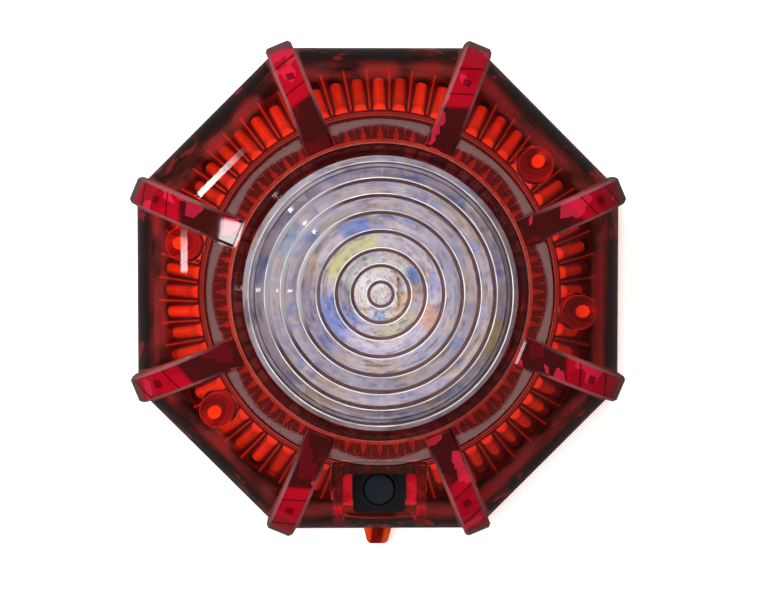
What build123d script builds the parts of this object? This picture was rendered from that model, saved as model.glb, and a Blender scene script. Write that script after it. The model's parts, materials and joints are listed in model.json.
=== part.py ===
from build123d import *
import os
from math import cos, sin, radians, sqrt

# LED safety flare: an octagonal, magnet-backed beacon.
# Frame: +Z up, origin at the centre of the octagon on the underside of the base,
# -Y is the button and hook side.  All dimensions in millimetres.

os.makedirs("parts", exist_ok=True)

# ------------------------------------------------------------------ driving dimensions
SPLIT_Z = 4.5            # joint plane between base tray and outer cover

# outer cover: eight gores, each curved in the radial direction only
COVER_APOTHEM = 50.0     # at the joint plane (100 mm across flats)
SPRING_APOTHEM = 49.6    # where the straight skirt meets the arc
SPRING_Z = 10.0
ARC_X = 32.1             # centre of the gore arc
DOME_R = 17.5
DOME_TOP = SPRING_Z + DOME_R
CAV_APOTHEM = 47.8
CAV_SPRING = 47.4
CAV_R = 15.3
CAV_TOP = SPRING_Z + CAV_R
LEDGE_R = 34.6           # round step around the lens opening
LEDGE_Z = 26.7
OPENING_R = 29.9

RIB_W = 5.6
RIB_END = 54.3
RIB_ARC_R = 18.0
RIB_SPRING_Z = 11.3
RIB_TOP = RIB_SPRING_Z + RIB_ARC_R
RIB_INNER = 30.6
RIB_CHAMFER = 0.55

BOSS_R = 3.4
BOSS_PCR = 40.0
BOSS_AZ = (39.0, -6.0, 216.0, 166.0)
BOSS_Z = 5.0

BUTTON_Y = -40.4
TUB_Z = 15.2
POCKET_Z = 17.2
POCKET_END_R = 46.4

# clear lens
LENS_TOP = 34.2
LENS_UNDER = 31.0
LENS_RINGS = (2.4, 5.6, 8.7, 12.3, 16.0, 19.3, 22.4, 25.7)
FLANGE_Z = 22.9          # underside of the lens flange = top of the diffuser flange
FLANGE_T = 1.4

# fluted diffuser
FLUTES = 60
DIFF_TOP_R = 36.2
DIFF_FOOT_R = 46.0

# base tray
BASE_APOTHEM = 49.7
FLOOR_T = 4.0
BOX_X, BOX_Y = 25.5, 17.0        # battery compartment, half sizes
BOX_WALL = 1.6
BOX_ROOF = 13.2
BOARD_Z = 14.4
BOARD_T = 1.6
DOOR_EAR_X = 30.5
MAGNETS = ((0.0, 32.0), (-22.5, -31.0), (22.5, -31.0))
BOARD_POSTS = ((0.0, 28.0), (-10.7, -25.9), (10.7, -25.9))
SWITCH_POSTS = ((-5.2, -36.2), (5.2, -36.2), (-5.2, -41.6), (5.2, -41.6))

# hook
HINGE_Y, HINGE_Z = -24.0, 2.4
HOOK_Z0, HOOK_T = 0.5, 2.4
HOOK_TIP = -54.2

# cells (AAA)
CELL_R = 5.25
CELL_Z = 7.6
CELL_BODY = 43.7
CELL_NUB = 0.8
CELL_Y = (-11.0, 0.0, 11.0)
PLATE_X = 25.1

BOSS_XY = [(BOSS_PCR * cos(radians(a)), BOSS_PCR * sin(radians(a))) for a in BOSS_AZ]


def radial_plane(azimuth):
    """Vertical plane through the axis: local x points outward at this azimuth, local y up."""
    a = radians(azimuth)
    return Plane(origin=(0, 0, 0), x_dir=(cos(a), sin(a), 0), z_dir=(sin(a), -cos(a), 0))


# ------------------------------------------------------------------ outer cover
# solid outer form: four crossed gore prisms
with BuildPart() as cover_form:
    for i in range(4):
        with BuildSketch(radial_plane(45 * i)):
            with BuildLine():
                Line((-COVER_APOTHEM, SPLIT_Z), (COVER_APOTHEM, SPLIT_Z))
                Line((COVER_APOTHEM, SPLIT_Z), (SPRING_APOTHEM, SPRING_Z))
                CenterArc((ARC_X, SPRING_Z), DOME_R, 0, 90)
                Line((ARC_X, DOME_TOP), (-ARC_X, DOME_TOP))
                CenterArc((-ARC_X, SPRING_Z), DOME_R, 90, 90)
                Line((-SPRING_APOTHEM, SPRING_Z), (-COVER_APOTHEM, SPLIT_Z))
            make_face()
        extrude(amount=70, both=True, mode=Mode.ADD if i == 0 else Mode.INTERSECT)

# the core that leaves the hollow
with BuildPart() as cover_core:
    for i in range(4):
        with BuildSketch(radial_plane(45 * i)):
            with BuildLine():
                Line((-CAV_APOTHEM, SPLIT_Z - 1), (CAV_APOTHEM, SPLIT_Z - 1))
                Line((CAV_APOTHEM, SPLIT_Z - 1), (CAV_SPRING, SPRING_Z))
                CenterArc((ARC_X, SPRING_Z), CAV_R, 0, 90)
                Line((ARC_X, CAV_TOP), (-ARC_X, CAV_TOP))
                CenterArc((-ARC_X, SPRING_Z), CAV_R, 90, 90)
                Line((-CAV_SPRING, SPRING_Z), (-CAV_APOTHEM, SPLIT_Z - 1))
            make_face()
        extrude(amount=70, both=True, mode=Mode.ADD if i == 0 else Mode.INTERSECT)

# one radial guard rib with bevelled long edges
with BuildPart() as cover_rib:
    with BuildSketch(Plane.XZ):
        with BuildLine():
            Polyline((RIB_END, RIB_SPRING_Z), (RIB_END, SPLIT_Z), (RIB_INNER, SPLIT_Z),
                     (RIB_INNER, RIB_TOP), (RIB_END - RIB_ARC_R, RIB_TOP))
            CenterArc((RIB_END - RIB_ARC_R, RIB_SPRING_Z), RIB_ARC_R, 0, 90)
        make_face()
    extrude(amount=RIB_W / 2, both=True)
    rib_long_edges = cover_rib.edges().filter_by(
        lambda e: abs(abs(e.center().Y) - RIB_W / 2) < 0.01
        and (e.center().Z > RIB_TOP - 0.1 or e.center().X > RIB_END - 8)
        and e.center().Z > SPLIT_Z + 0.1)
    chamfer(rib_long_edges, RIB_CHAMFER)

# screw bosses and the button tub, trimmed to the outer form
with BuildPart() as cover_inner_features:
    with BuildSketch(Plane.XY.offset(BOSS_Z)):
        with Locations(*BOSS_XY):
            Circle(BOSS_R)
    extrude(amount=24)
    with BuildSketch(Plane.XY.offset(TUB_Z)):
        with Locations((0, -42.35)):
            Rectangle(18.4, 15.3)
    extrude(amount=14)
    add(cover_form.part, mode=Mode.INTERSECT)

with BuildPart() as outer_cover:
    add(cover_form.part)
    with BuildSketch(Plane.XZ):
        with BuildLine():
            Polyline((20, LEDGE_Z), (LEDGE_R, LEDGE_Z), (LEDGE_R, LEDGE_Z + 0.3),
                     (LEDGE_R + 0.6, LEDGE_Z + 1.8), (20, LEDGE_Z + 1.8), close=True)
        make_face()
    revolve(axis=Axis.Z, mode=Mode.SUBTRACT)
    with PolarLocations(0, 8, start_angle=22.5):
        add(cover_rib.part)
    add(cover_core.part, mode=Mode.SUBTRACT)
    with BuildSketch(Plane.XY.offset(20)):
        Circle(OPENING_R)
    extrude(amount=12, mode=Mode.SUBTRACT)
    add(cover_inner_features.part)
    # button pocket, bowed along its outer end
    with BuildSketch(Plane.XY.offset(POCKET_Z)):
        with Locations((0, -41.65)):
            Rectangle(14.8, 10.7)
        Circle(POCKET_END_R, mode=Mode.INTERSECT)
        fillet(vertices(), 1.0)
    extrude(amount=12, mode=Mode.SUBTRACT)
    # rails along both sides of the pocket floor
    with BuildSketch(Plane.XY.offset(POCKET_Z)):
        with Locations((-6.55, -39.6), (6.55, -39.6)):
            Rectangle(1.9, 6.8)
    extrude(amount=4.3)
    # button hole and screw pilot holes
    with BuildSketch(Plane.XY.offset(TUB_Z - 1)):
        with Locations((0, BUTTON_Y)):
            Circle(3.5)
    extrude(amount=4, mode=Mode.SUBTRACT)
    with BuildSketch(Plane.XY.offset(BOSS_Z - 1)):
        with Locations(*BOSS_XY):
            Circle(1.3)
    extrude(amount=13, mode=Mode.SUBTRACT)
outer_cover.part.label = "outer_cover"
export_step(outer_cover.part, "parts/outer_cover.step")

# ------------------------------------------------------------------ clear lens
ring_pts = [(0.0, LENS_TOP)]
previous = 0.0
for ring in LENS_RINGS:
    depth = min(1.25, 0.25 + 0.05 * (previous + ring) / 2)
    ring_pts.append((ring - 0.3, LENS_TOP - depth))
    ring_pts.append((ring + 0.25, LENS_TOP))
    previous = ring
with BuildPart() as clear_lens:
    with BuildSketch(Plane.XZ):
        with BuildLine():
            Polyline(*ring_pts, (26.2, LENS_TOP), (29.7, 26.9), (29.7, FLANGE_Z + FLANGE_T),
                     (32.2, FLANGE_Z + FLANGE_T), (32.2, FLANGE_Z), (27.6, FLANGE_Z),
                     (27.6, 25.0), (24.6, LENS_UNDER), (0, LENS_UNDER), close=True)
        make_face()
    revolve(axis=Axis.Z)
clear_lens.part.label = "clear_lens"
export_step(clear_lens.part, "parts/clear_lens.step")

with BuildPart() as lens_gasket:
    with BuildSketch(Plane.XY.offset(FLANGE_Z + FLANGE_T)):
        Circle(30.6)
        Circle(29.75, mode=Mode.SUBTRACT)
    extrude(amount=CAV_TOP - FLANGE_Z - FLANGE_T)
lens_gasket.part.label = "lens_gasket"
export_step(lens_gasket.part, "parts/lens_gasket.step")

# ------------------------------------------------------------------ fluted diffuser
cone_dx, cone_dz = DIFF_FOOT_R - DIFF_TOP_R, 6.5 - FLANGE_Z
cone_len = sqrt(cone_dx ** 2 + cone_dz ** 2)
ux, uz = cone_dx / cone_len, cone_dz / cone_len        # down the cone
nx, nz = -uz, ux                                       # outward normal of the cone


def cone_point(t, lift):
    """Point on the cone's generator, t mm from its top edge, lifted along the normal."""
    return (DIFF_TOP_R + ux * t + nx * lift, FLANGE_Z + uz * t + nz * lift)


# one half-round flute, a round bar bedded in the cone
FLUTE_R, FLUTE_BED, FLUTE_L = 1.1, -0.2, 15.4
with BuildPart() as flute:
    flute_top = cone_point(1.3, FLUTE_BED)
    with BuildSketch(Plane(origin=(flute_top[0], 0, flute_top[1]), z_dir=(ux, 0, uz))):
        Circle(FLUTE_R)
    extrude(amount=FLUTE_L)

with BuildPart() as fluted_diffuser:
    with BuildSketch(Plane.XZ):
        with BuildLine():
            Polyline((26.4, 21.3), (26.4, FLANGE_Z), (DIFF_TOP_R, FLANGE_Z), (DIFF_FOOT_R, 6.5),
                     (DIFF_FOOT_R, SPLIT_Z), (44.0, SPLIT_Z), (44.0, 6.33), (35.06, 21.3), close=True)
        make_face()
    revolve(axis=Axis.Z)
    with PolarLocations(0, FLUTES, start_angle=3.0):
        add(flute.part)
    with BuildSketch(Plane.XY.offset(SPLIT_Z)):
        with Locations(*BOSS_XY):
            RegularPolygon(BOSS_R + 0.45, 8, major_radius=False)
    extrude(amount=22, mode=Mode.SUBTRACT)
    with BuildSketch(Plane.XY.offset(7.0)):
        with Locations((0, -42.1)):
            Rectangle(19.4, 15.8)
    extrude(amount=20, mode=Mode.SUBTRACT)
fluted_diffuser.part.label = "fluted_diffuser"
export_step(fluted_diffuser.part, "parts/fluted_diffuser.step")

# ------------------------------------------------------------------ reflector and lamps
with BuildPart() as reflector_cup:
    with BuildSketch(Plane.XZ):
        with BuildLine():
            Polyline((5.0, 17.4), (5.0, 16.0), (6.0, 16.0), (6.0, 16.6))
            ThreePointArc((6.0, 16.6), (17.9, 20.6), (24.0, 30.0))
            Polyline((24.0, 30.0), (24.4, 30.0), (24.4, LENS_UNDER), (22.9, LENS_UNDER), (22.9, 30.2))
            ThreePointArc((22.9, 30.2), (17.1, 21.4), (5.0, 17.4))
        make_face()
    revolve(axis=Axis.Z)
reflector_cup.part.label = "reflector_cup"
export_step(reflector_cup.part, "parts/reflector_cup.step")

with BuildPart() as circuit_board:
    with BuildSketch(Plane.XY.offset(BOARD_Z)):
        Circle(34.0)
        with Locations(*BOARD_POSTS):
            Circle(1.1, mode=Mode.SUBTRACT)
        with Locations((25.2, -11.0), (-25.2, 11.0)):
            Rectangle(1.2, 3.0, mode=Mode.SUBTRACT)
        with Locations((0, -39.0)):
            Rectangle(20.0, 12.0, mode=Mode.SUBTRACT)
    extrude(amount=BOARD_T)
circuit_board.part.label = "circuit_board"
export_step(circuit_board.part, "parts/circuit_board.step")

BOARD_TOP = BOARD_Z + BOARD_T
with BuildPart() as white_led:
    with BuildSketch(Plane.XY.offset(BOARD_TOP)):
        RectangleRounded(5.0, 5.0, 0.4)
    extrude(amount=1.0)
    with BuildSketch(Plane.XY.offset(BOARD_TOP + 0.5)):
        Circle(1.8)
    extrude(amount=1.8)
    fillet(white_led.edges().filter_by(GeomType.CIRCLE).group_by(Axis.Z)[-1], 1.2)
white_led.part.label = "white_led"
export_step(white_led.part, "parts/white_led.step")

# one side-firing lamp: flanged 3 mm body lying on the board, with its foot
LED_Z = 17.8
with BuildPart() as red_led:
    with BuildSketch(Plane.XZ):
        with BuildLine():
            Polyline((29.8, 19.3), (27.0, 19.3), (27.0, 19.55), (26.0, 19.55), (26.0, LED_Z), (31.3, LED_Z))
            CenterArc((29.8, LED_Z), 1.5, 0, 90)
        make_face()
    revolve(axis=Axis((0, 0, LED_Z), (1, 0, 0)))
    with BuildSketch(Plane.XY.offset(BOARD_TOP)):
        with Locations((26.5, 0)):
            Rectangle(1.0, 2.6)
    extrude(amount=1.6)
with BuildPart() as red_leds:
    with PolarLocations(0, 16, start_angle=11.25):
        add(red_led.part)
red_leds.part.label = "red_leds"
export_step(red_leds.part, "parts/red_leds.step")

with BuildPart() as driver_chip:
    with BuildSketch(Plane.XY.offset(BOARD_TOP + 0.1)):
        with Locations((18.8, 0)):
            Rectangle(3.9, 4.9)
    extrude(amount=1.4)
    with BuildSketch(Plane.XY.offset(BOARD_TOP)):
        with Locations(*[(18.8, -1.9 + 1.27 * k) for k in range(4)]):
            Rectangle(6.0, 0.4)
    extrude(amount=0.5)
driver_chip.part.label = "driver_chip"
export_step(driver_chip.part, "parts/driver_chip.step")

with BuildPart() as resistors:
    with BuildSketch(Plane.XY.offset(BOARD_TOP)):
        with PolarLocations(22.0, 8, start_angle=22.5):
            Rectangle(1.2, 2.0)
    extrude(amount=0.6)
resistors.part.label = "resistors"
export_step(resistors.part, "parts/resistors.step")

with BuildPart() as board_screws:
    with BuildSketch(Plane.XY.offset(BOARD_TOP)):
        with Locations(*BOARD_POSTS):
            Circle(1.9)
    extrude(amount=1.2)
    chamfer(board_screws.edges().filter_by(GeomType.CIRCLE).group_by(Axis.Z)[-1], 0.35)
    with BuildSketch(Plane.XY.offset(8.0)):
        with Locations(*BOARD_POSTS):
            Circle(0.95)
    extrude(amount=8.5)
    with BuildSketch(Plane.XY.offset(BOARD_TOP + 0.7)):
        with Locations(*BOARD_POSTS):
            Rectangle(2.0, 0.5)
            Rectangle(0.5, 2.0)
    extrude(amount=1.0, mode=Mode.SUBTRACT)
board_screws.part.label = "board_screws"
export_step(board_screws.part, "parts/board_screws.step")

# ------------------------------------------------------------------ base tray
with BuildPart() as base_tray:
    with BuildSketch(Plane.XY):
        RegularPolygon(BASE_APOTHEM, 8, major_radius=False, rotation=22.5)
    extrude(amount=SPLIT_Z)
    chamfer(base_tray.faces().sort_by(Axis.Z)[0].edges(), 1.0)
    with BuildSketch(Plane.XY.offset(FLOOR_T)):
        Circle(43.5)
    extrude(amount=1.0, mode=Mode.SUBTRACT)
    # sealing groove and locating tongue
    with BuildSketch(Plane.XY.offset(SPLIT_Z - 0.6)):
        RegularPolygon(48.9, 8, major_radius=False, rotation=22.5)
        RegularPolygon(48.1, 8, major_radius=False, rotation=22.5, mode=Mode.SUBTRACT)
    extrude(amount=1.0, mode=Mode.SUBTRACT)
    with BuildSketch(Plane.XY.offset(SPLIT_Z)):
        RegularPolygon(47.3, 8, major_radius=False, rotation=22.5)
        RegularPolygon(46.2, 8, major_radius=False, rotation=22.5, mode=Mode.SUBTRACT)
    extrude(amount=2.1)
    # battery box, door screw bosses, case screw seats
    with BuildSketch(Plane.XY.offset(FLOOR_T - 0.5)):
        Rectangle(2 * (BOX_X + BOX_WALL), 2 * (BOX_Y + BOX_WALL))
    extrude(amount=BOARD_Z - FLOOR_T + 0.5)
    with BuildSketch(Plane.XY.offset(FLOOR_T - 0.5)):
        with Locations((-DOOR_EAR_X, 0), (DOOR_EAR_X, 0)):
            Circle(3.0)
    extrude(amount=6.5)
    with BuildSketch(Plane.XY.offset(FLOOR_T - 0.5)):
        with Locations(*BOSS_XY):
            Circle(BOSS_R)
    extrude(amount=BOSS_Z - FLOOR_T + 0.5)
    # roof over the hook's well, taller over the hinge barrel
    with BuildSketch(Plane.XY.offset(FLOOR_T - 0.5)):
        with Locations((0, -31.8)):
            Rectangle(15.2, 22.4)
    extrude(amount=1.9)
    with BuildSketch(Plane.XY.offset(FLOOR_T - 0.5)):
        with Locations((0, -24.6)):
            Rectangle(15.2, 8.4)
    extrude(amount=2.7)
    # posts for the lamp board and the switch board
    with BuildSketch(Plane.XY.offset(FLOOR_T - 0.5)):
        with Locations(*BOARD_POSTS):
            Circle(2.5)
    extrude(amount=BOARD_Z - FLOOR_T + 0.5)
    with BuildSketch(Plane.XY.offset(FLOOR_T - 0.5)):
        with Locations(*SWITCH_POSTS):
            Circle(1.75)
    extrude(amount=8.6 - FLOOR_T + 0.5)
    with BuildSketch(Plane.XY.offset(8.0)):
        with Locations(*SWITCH_POSTS):
            Circle(0.8)
    extrude(amount=2.2)
    # battery compartment, door rebate
    with BuildSketch(Plane.XY.offset(-1)):
        Rectangle(2 * BOX_X, 2 * BOX_Y)
    extrude(amount=BOX_ROOF + 1, mode=Mode.SUBTRACT)
    with BuildSketch(Plane.XY.offset(-1)):
        RectangleRounded(55.8, 38.8, 1.5)
        with Locations((-DOOR_EAR_X, 0), (DOOR_EAR_X, 0)):
            Circle(4.2)
    extrude(amount=3.4, mode=Mode.SUBTRACT)
    # contact tab slots through the roof
    with BuildSketch(Plane.XY.offset(BOX_ROOF - 0.5)):
        with Locations((25.2, -11.0), (-25.2, 11.0)):
            Rectangle(1.0, 2.8)
    extrude(amount=3, mode=Mode.SUBTRACT)
    # screw holes
    with BuildSketch(Plane.XY.offset(2.0)):
        with Locations((-DOOR_EAR_X, 0), (DOOR_EAR_X, 0)):
            Circle(1.28)
    extrude(amount=7.5, mode=Mode.SUBTRACT)
    with BuildSketch(Plane.XY.offset(-1)):
        with Locations(*BOSS_XY):
            Circle(1.45)
    extrude(amount=8, mode=Mode.SUBTRACT)
    with BuildSketch(Plane.XY.offset(-1)):
        with Locations(*BOSS_XY):
            Circle(2.7)
    extrude(amount=3.4, mode=Mode.SUBTRACT)
    with BuildSketch(Plane.XY.offset(7.5)):
        with Locations(*BOARD_POSTS):
            Circle(0.98)
    extrude(amount=8, mode=Mode.SUBTRACT)
    # magnet pockets
    with BuildSketch(Plane.XY.offset(-1)):
        with Locations(*MAGNETS):
            Circle(7.1)
    extrude(amount=4.15, mode=Mode.SUBTRACT)
    # hook well, rim notch and hinge pin seats
    with BuildSketch(Plane.XY.offset(-1)):
        with Locations((0, -33.1)):
            Rectangle(11.8, 23.0)
        with Locations((0, -48.0)):
            Rectangle(7.2, 10.0)
    extrude(amount=4.3, mode=Mode.SUBTRACT)
    with BuildSketch(Plane.XY.offset(-1)):
        with Locations((0, -24.35)):
            Rectangle(11.8, 5.5)
    extrude(amount=5.7, mode=Mode.SUBTRACT)
    with BuildSketch(Plane.YZ.offset(-9.1)):
        with Locations((HINGE_Y, HINGE_Z)):
            Circle(1.02)
        with Locations((HINGE_Y, HINGE_Z / 2 - 0.5)):
            Rectangle(2.04, HINGE_Z + 1.0)
    extrude(amount=18.2, mode=Mode.SUBTRACT)
base_tray.part.label = "base_tray"
export_step(base_tray.part, "parts/base_tray.step")

with BuildPart() as perimeter_gasket:
    with BuildSketch(Plane.XY.offset(SPLIT_Z - 0.6)):
        RegularPolygon(48.9, 8, major_radius=False, rotation=22.5)
        RegularPolygon(48.1, 8, major_radius=False, rotation=22.5, mode=Mode.SUBTRACT)
    extrude(amount=0.6)
perimeter_gasket.part.label = "perimeter_gasket"
export_step(perimeter_gasket.part, "parts/perimeter_gasket.step")

with BuildPart() as case_screws:
    with BuildSketch(Plane.XY.offset(0.6)):
        with Locations(*BOSS_XY):
            Circle(2.5)
    extrude(amount=1.8)
    chamfer(case_screws.edges().filter_by(GeomType.CIRCLE).group_by(Axis.Z)[0], 0.4)
    with BuildSketch(Plane.XY.offset(2.0)):
        with Locations(*BOSS_XY):
            Circle(1.25)
    extrude(amount=12.5)
    with BuildSketch(Plane.XY.offset(0)):
        with Locations(*BOSS_XY):
            Rectangle(2.8, 0.7)
            Rectangle(0.7, 2.8)
    extrude(amount=1.5, mode=Mode.SUBTRACT)
case_screws.part.label = "case_screws"
export_step(case_screws.part, "parts/case_screws.step")

with BuildPart() as magnets:
    with BuildSketch(Plane.XY.offset(0.05)):
        with Locations(*MAGNETS):
            Circle(7.0)
    extrude(amount=3.0)
    chamfer(magnets.edges().filter_by(GeomType.CIRCLE), 0.25)
magnets.part.label = "magnets"
export_step(magnets.part, "parts/magnets.step")

# ------------------------------------------------------------------ battery door
with BuildPart() as battery_door:
    with BuildSketch(Plane.XY.offset(0.15)):
        RectangleRounded(55.2, 38.2, 1.3)
        with Locations((-DOOR_EAR_X, 0), (DOOR_EAR_X, 0)):
            Circle(3.9)
    extrude(amount=1.65)
    chamfer(battery_door.faces().sort_by(Axis.Z)[0].edges(), 0.3)
    # grip grooves
    with BuildSketch(Plane.XY):
        with GridLocations(0, 2.4, 1, 5):
            Rectangle(18.0, 1.0)
    extrude(amount=0.55, mode=Mode.SUBTRACT)
    # screw seats and holes
    with BuildSketch(Plane.XY):
        with Locations((-DOOR_EAR_X, 0), (DOOR_EAR_X, 0)):
            Circle(2.6)
    extrude(amount=1.2, mode=Mode.SUBTRACT)
    with BuildSketch(Plane.XY):
        with Locations((-DOOR_EAR_X, 0), (DOOR_EAR_X, 0)):
            Circle(1.28)
    extrude(amount=3, mode=Mode.SUBTRACT)
battery_door.part.label = "battery_door"
export_step(battery_door.part, "parts/battery_door.step")

with BuildPart() as door_gasket:
    with BuildSketch(Plane.XY.offset(1.8)):
        RectangleRounded(54.6, 37.6, 1.2)
        RectangleRounded(52.0, 35.0, 0.8, mode=Mode.SUBTRACT)
    extrude(amount=0.6)
door_gasket.part.label = "door_gasket"
export_step(door_gasket.part, "parts/door_gasket.step")


def door_screw(x):
    """Cross-recess screw seated in an ear of the battery door."""
    with BuildPart() as screw:
        with BuildSketch(Plane.XY.offset(0.2)):
            with Locations((x, 0)):
                Circle(2.3)
        extrude(amount=1.0)
        chamfer(screw.edges().filter_by(GeomType.CIRCLE).group_by(Axis.Z)[0], 0.25)
        with BuildSketch(Plane.XY.offset(1.0)):
            with Locations((x, 0)):
                Circle(1.2)
        extrude(amount=7.6)
        with BuildSketch(Plane.XY):
            with Locations((x, 0)):
                Rectangle(2.4, 0.6)
                Rectangle(0.6, 2.4)
        extrude(amount=0.9, mode=Mode.SUBTRACT)
    return screw


door_screw_left = door_screw(-DOOR_EAR_X)
door_screw_left.part.label = "door_screw_left"
export_step(door_screw_left.part, "parts/door_screw_left.step")

door_screw_right = door_screw(DOOR_EAR_X)
door_screw_right.part.label = "door_screw_right"
export_step(door_screw_right.part, "parts/door_screw_right.step")


# ------------------------------------------------------------------ cells and contacts
def battery_cell(y, nub_side):
    """AAA cell lying along X with its positive nub on the given side."""
    tip = PLATE_X
    shoulder = tip - CELL_NUB
    tail = shoulder - CELL_BODY
    with BuildPart() as cell:
        with BuildSketch(Plane(origin=(0, y, CELL_Z), x_dir=(nub_side, 0, 0), z_dir=(0, -nub_side, 0))):
            with BuildLine():
                Polyline((tail, 0), (tail, CELL_R - 0.4), (tail + 0.4, CELL_R), (shoulder - 0.4, CELL_R),
                         (shoulder, CELL_R - 0.4), (shoulder, 1.9), (tip, 1.9), (tip, 0), close=True)
            make_face()
        revolve(axis=Axis((0, y, CELL_Z), (1, 0, 0)))
    return cell


battery_cell_1 = battery_cell(CELL_Y[0], 1)
battery_cell_1.part.label = "battery_cell_1"
export_step(battery_cell_1.part, "parts/battery_cell_1.step")

battery_cell_2 = battery_cell(CELL_Y[1], -1)
battery_cell_2.part.label = "battery_cell_2"
export_step(battery_cell_2.part, "parts/battery_cell_2.step")

battery_cell_3 = battery_cell(CELL_Y[2], 1)
battery_cell_3.part.label = "battery_cell_3"
export_step(battery_cell_3.part, "parts/battery_cell_3.step")

# three tapered contact springs, each bearing on a cell's flat end
SPRING_L = 2 * PLATE_X - CELL_BODY - CELL_NUB
with BuildPart() as battery_springs:
    for y, side in ((CELL_Y[0], 1), (CELL_Y[1], -1), (CELL_Y[2], 1)):
        with BuildSketch(Plane(origin=(-side * PLATE_X, y, CELL_Z), x_dir=(side, 0, 0), z_dir=(0, -side, 0))):
            with BuildLine():
                Polyline((0, 2.8), (0, 3.5), (SPRING_L, 2.4), (SPRING_L, 1.7), close=True)
            make_face()
        revolve(axis=Axis((0, y, CELL_Z), (1, 0, 0)))
battery_springs.part.label = "battery_springs"
export_step(battery_springs.part, "parts/battery_springs.step")

with BuildPart() as contact_positive_terminal:
    with BuildSketch(Plane.YZ.offset(PLATE_X)):
        with Locations((-11.0, 7.7)):
            Rectangle(8.0, 9.0)
        with Locations((-11.0, 14.3)):
            Rectangle(2.0, 4.8)
    extrude(amount=0.4)
contact_positive_terminal.part.label = "contact_positive_terminal"
export_step(contact_positive_terminal.part, "parts/contact_positive_terminal.step")

with BuildPart() as contact_negative_terminal:
    with BuildSketch(Plane.YZ.offset(-PLATE_X - 0.4)):
        with Locations((11.0, 7.7)):
            Rectangle(8.0, 9.0)
        with Locations((11.0, 14.3)):
            Rectangle(2.0, 4.8)
    extrude(amount=0.4)
contact_negative_terminal.part.label = "contact_negative_terminal"
export_step(contact_negative_terminal.part, "parts/contact_negative_terminal.step")

with BuildPart() as contact_bridge_left:
    with BuildSketch(Plane.YZ.offset(-PLATE_X - 0.4)):
        with Locations((-5.5, 7.7)):
            Rectangle(19.0, 9.0)
    extrude(amount=0.4)
contact_bridge_left.part.label = "contact_bridge_left"
export_step(contact_bridge_left.part, "parts/contact_bridge_left.step")

with BuildPart() as contact_bridge_right:
    with BuildSketch(Plane.YZ.offset(PLATE_X)):
        with Locations((5.5, 7.7)):
            Rectangle(19.0, 9.0)
    extrude(amount=0.4)
contact_bridge_right.part.label = "contact_bridge_right"
export_step(contact_bridge_right.part, "parts/contact_bridge_right.step")

# ------------------------------------------------------------------ hanging hook
with BuildPart() as hang_hook:
    with BuildSketch(Plane.XY.offset(HOOK_Z0)):
        with Locations((0, -34.0)):
            RectangleRounded(11.0, 20.0, 1.8)
        with BuildLine():
            Polyline((-3.1, -42.5), (-3.1, -50.0), (-2.1, HOOK_TIP), (2.1, HOOK_TIP), (3.1, -50.0),
                     (3.1, -42.5), close=True)
        make_face()
        fillet(vertices().filter_by(lambda v: v.Y < HOOK_TIP + 0.1), 1.2)
        with Locations((0, -35.0)):
            RectangleRounded(5.6, 13.0, 1.4, mode=Mode.SUBTRACT)
        with Locations((4.1, -30.9)):
            Rectangle(3.4, 4.2, mode=Mode.SUBTRACT)
    extrude(amount=HOOK_T)
    with BuildSketch(Plane.YZ.offset(-5.5)):
        with Locations((HINGE_Y, HINGE_Z)):
            Circle(1.9)
    extrude(amount=11.0)
    with BuildSketch(Plane.YZ.offset(-6.0)):
        with Locations((HINGE_Y, HINGE_Z)):
            Circle(1.06)
    extrude(amount=12.0, mode=Mode.SUBTRACT)
hang_hook.part.label = "hang_hook"
export_step(hang_hook.part, "parts/hang_hook.step")

with BuildPart() as hook_pin:
    with BuildSketch(Plane.YZ.offset(-9.0)):
        with Locations((HINGE_Y, HINGE_Z)):
            Circle(1.0)
    extrude(amount=18.0)
hook_pin.part.label = "hook_pin"
export_step(hook_pin.part, "parts/hook_pin.step")

# ------------------------------------------------------------------ switch and button
with BuildPart() as switch_board:
    with BuildSketch(Plane.XY.offset(8.6)):
        with Locations((0, -39.25)):
            Rectangle(14.0, 9.5)
        with Locations(*SWITCH_POSTS):
            Circle(0.85, mode=Mode.SUBTRACT)
    extrude(amount=1.2)
switch_board.part.label = "switch_board"
export_step(switch_board.part, "parts/switch_board.step")

with BuildPart() as tact_switch_body:
    with BuildSketch(Plane.XY.offset(9.8)):
        with Locations((0, BUTTON_Y)):
            RectangleRounded(6.0, 6.0, 0.5)
    extrude(amount=3.4)
    with BuildSketch(Plane.XY.offset(11.0)):
        with Locations((0, BUTTON_Y)):
            Circle(1.7)
    extrude(amount=4, mode=Mode.SUBTRACT)
tact_switch_body.part.label = "tact_switch_body"
export_step(tact_switch_body.part, "parts/tact_switch_body.step")

with BuildPart() as switch_plunger:
    with BuildSketch(Plane.XY.offset(12.2)):
        with Locations((0, BUTTON_Y)):
            Circle(1.6)
    extrude(amount=2.2)
switch_plunger.part.label = "switch_plunger"
export_step(switch_plunger.part, "parts/switch_plunger.step")

with BuildPart() as button_cap:
    with BuildSketch(Plane.XY.offset(14.4)):
        with Locations((0, BUTTON_Y)):
            Circle(4.2)
    extrude(amount=0.7)
    with BuildSketch(Plane.XY.offset(14.4)):
        with Locations((0, BUTTON_Y)):
            Circle(3.1)
    extrude(amount=5.9)
    fillet(button_cap.edges().filter_by(GeomType.CIRCLE).group_by(Axis.Z)[-1], 0.8)
button_cap.part.label = "button_cap"
export_step(button_cap.part, "parts/button_cap.step")

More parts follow.
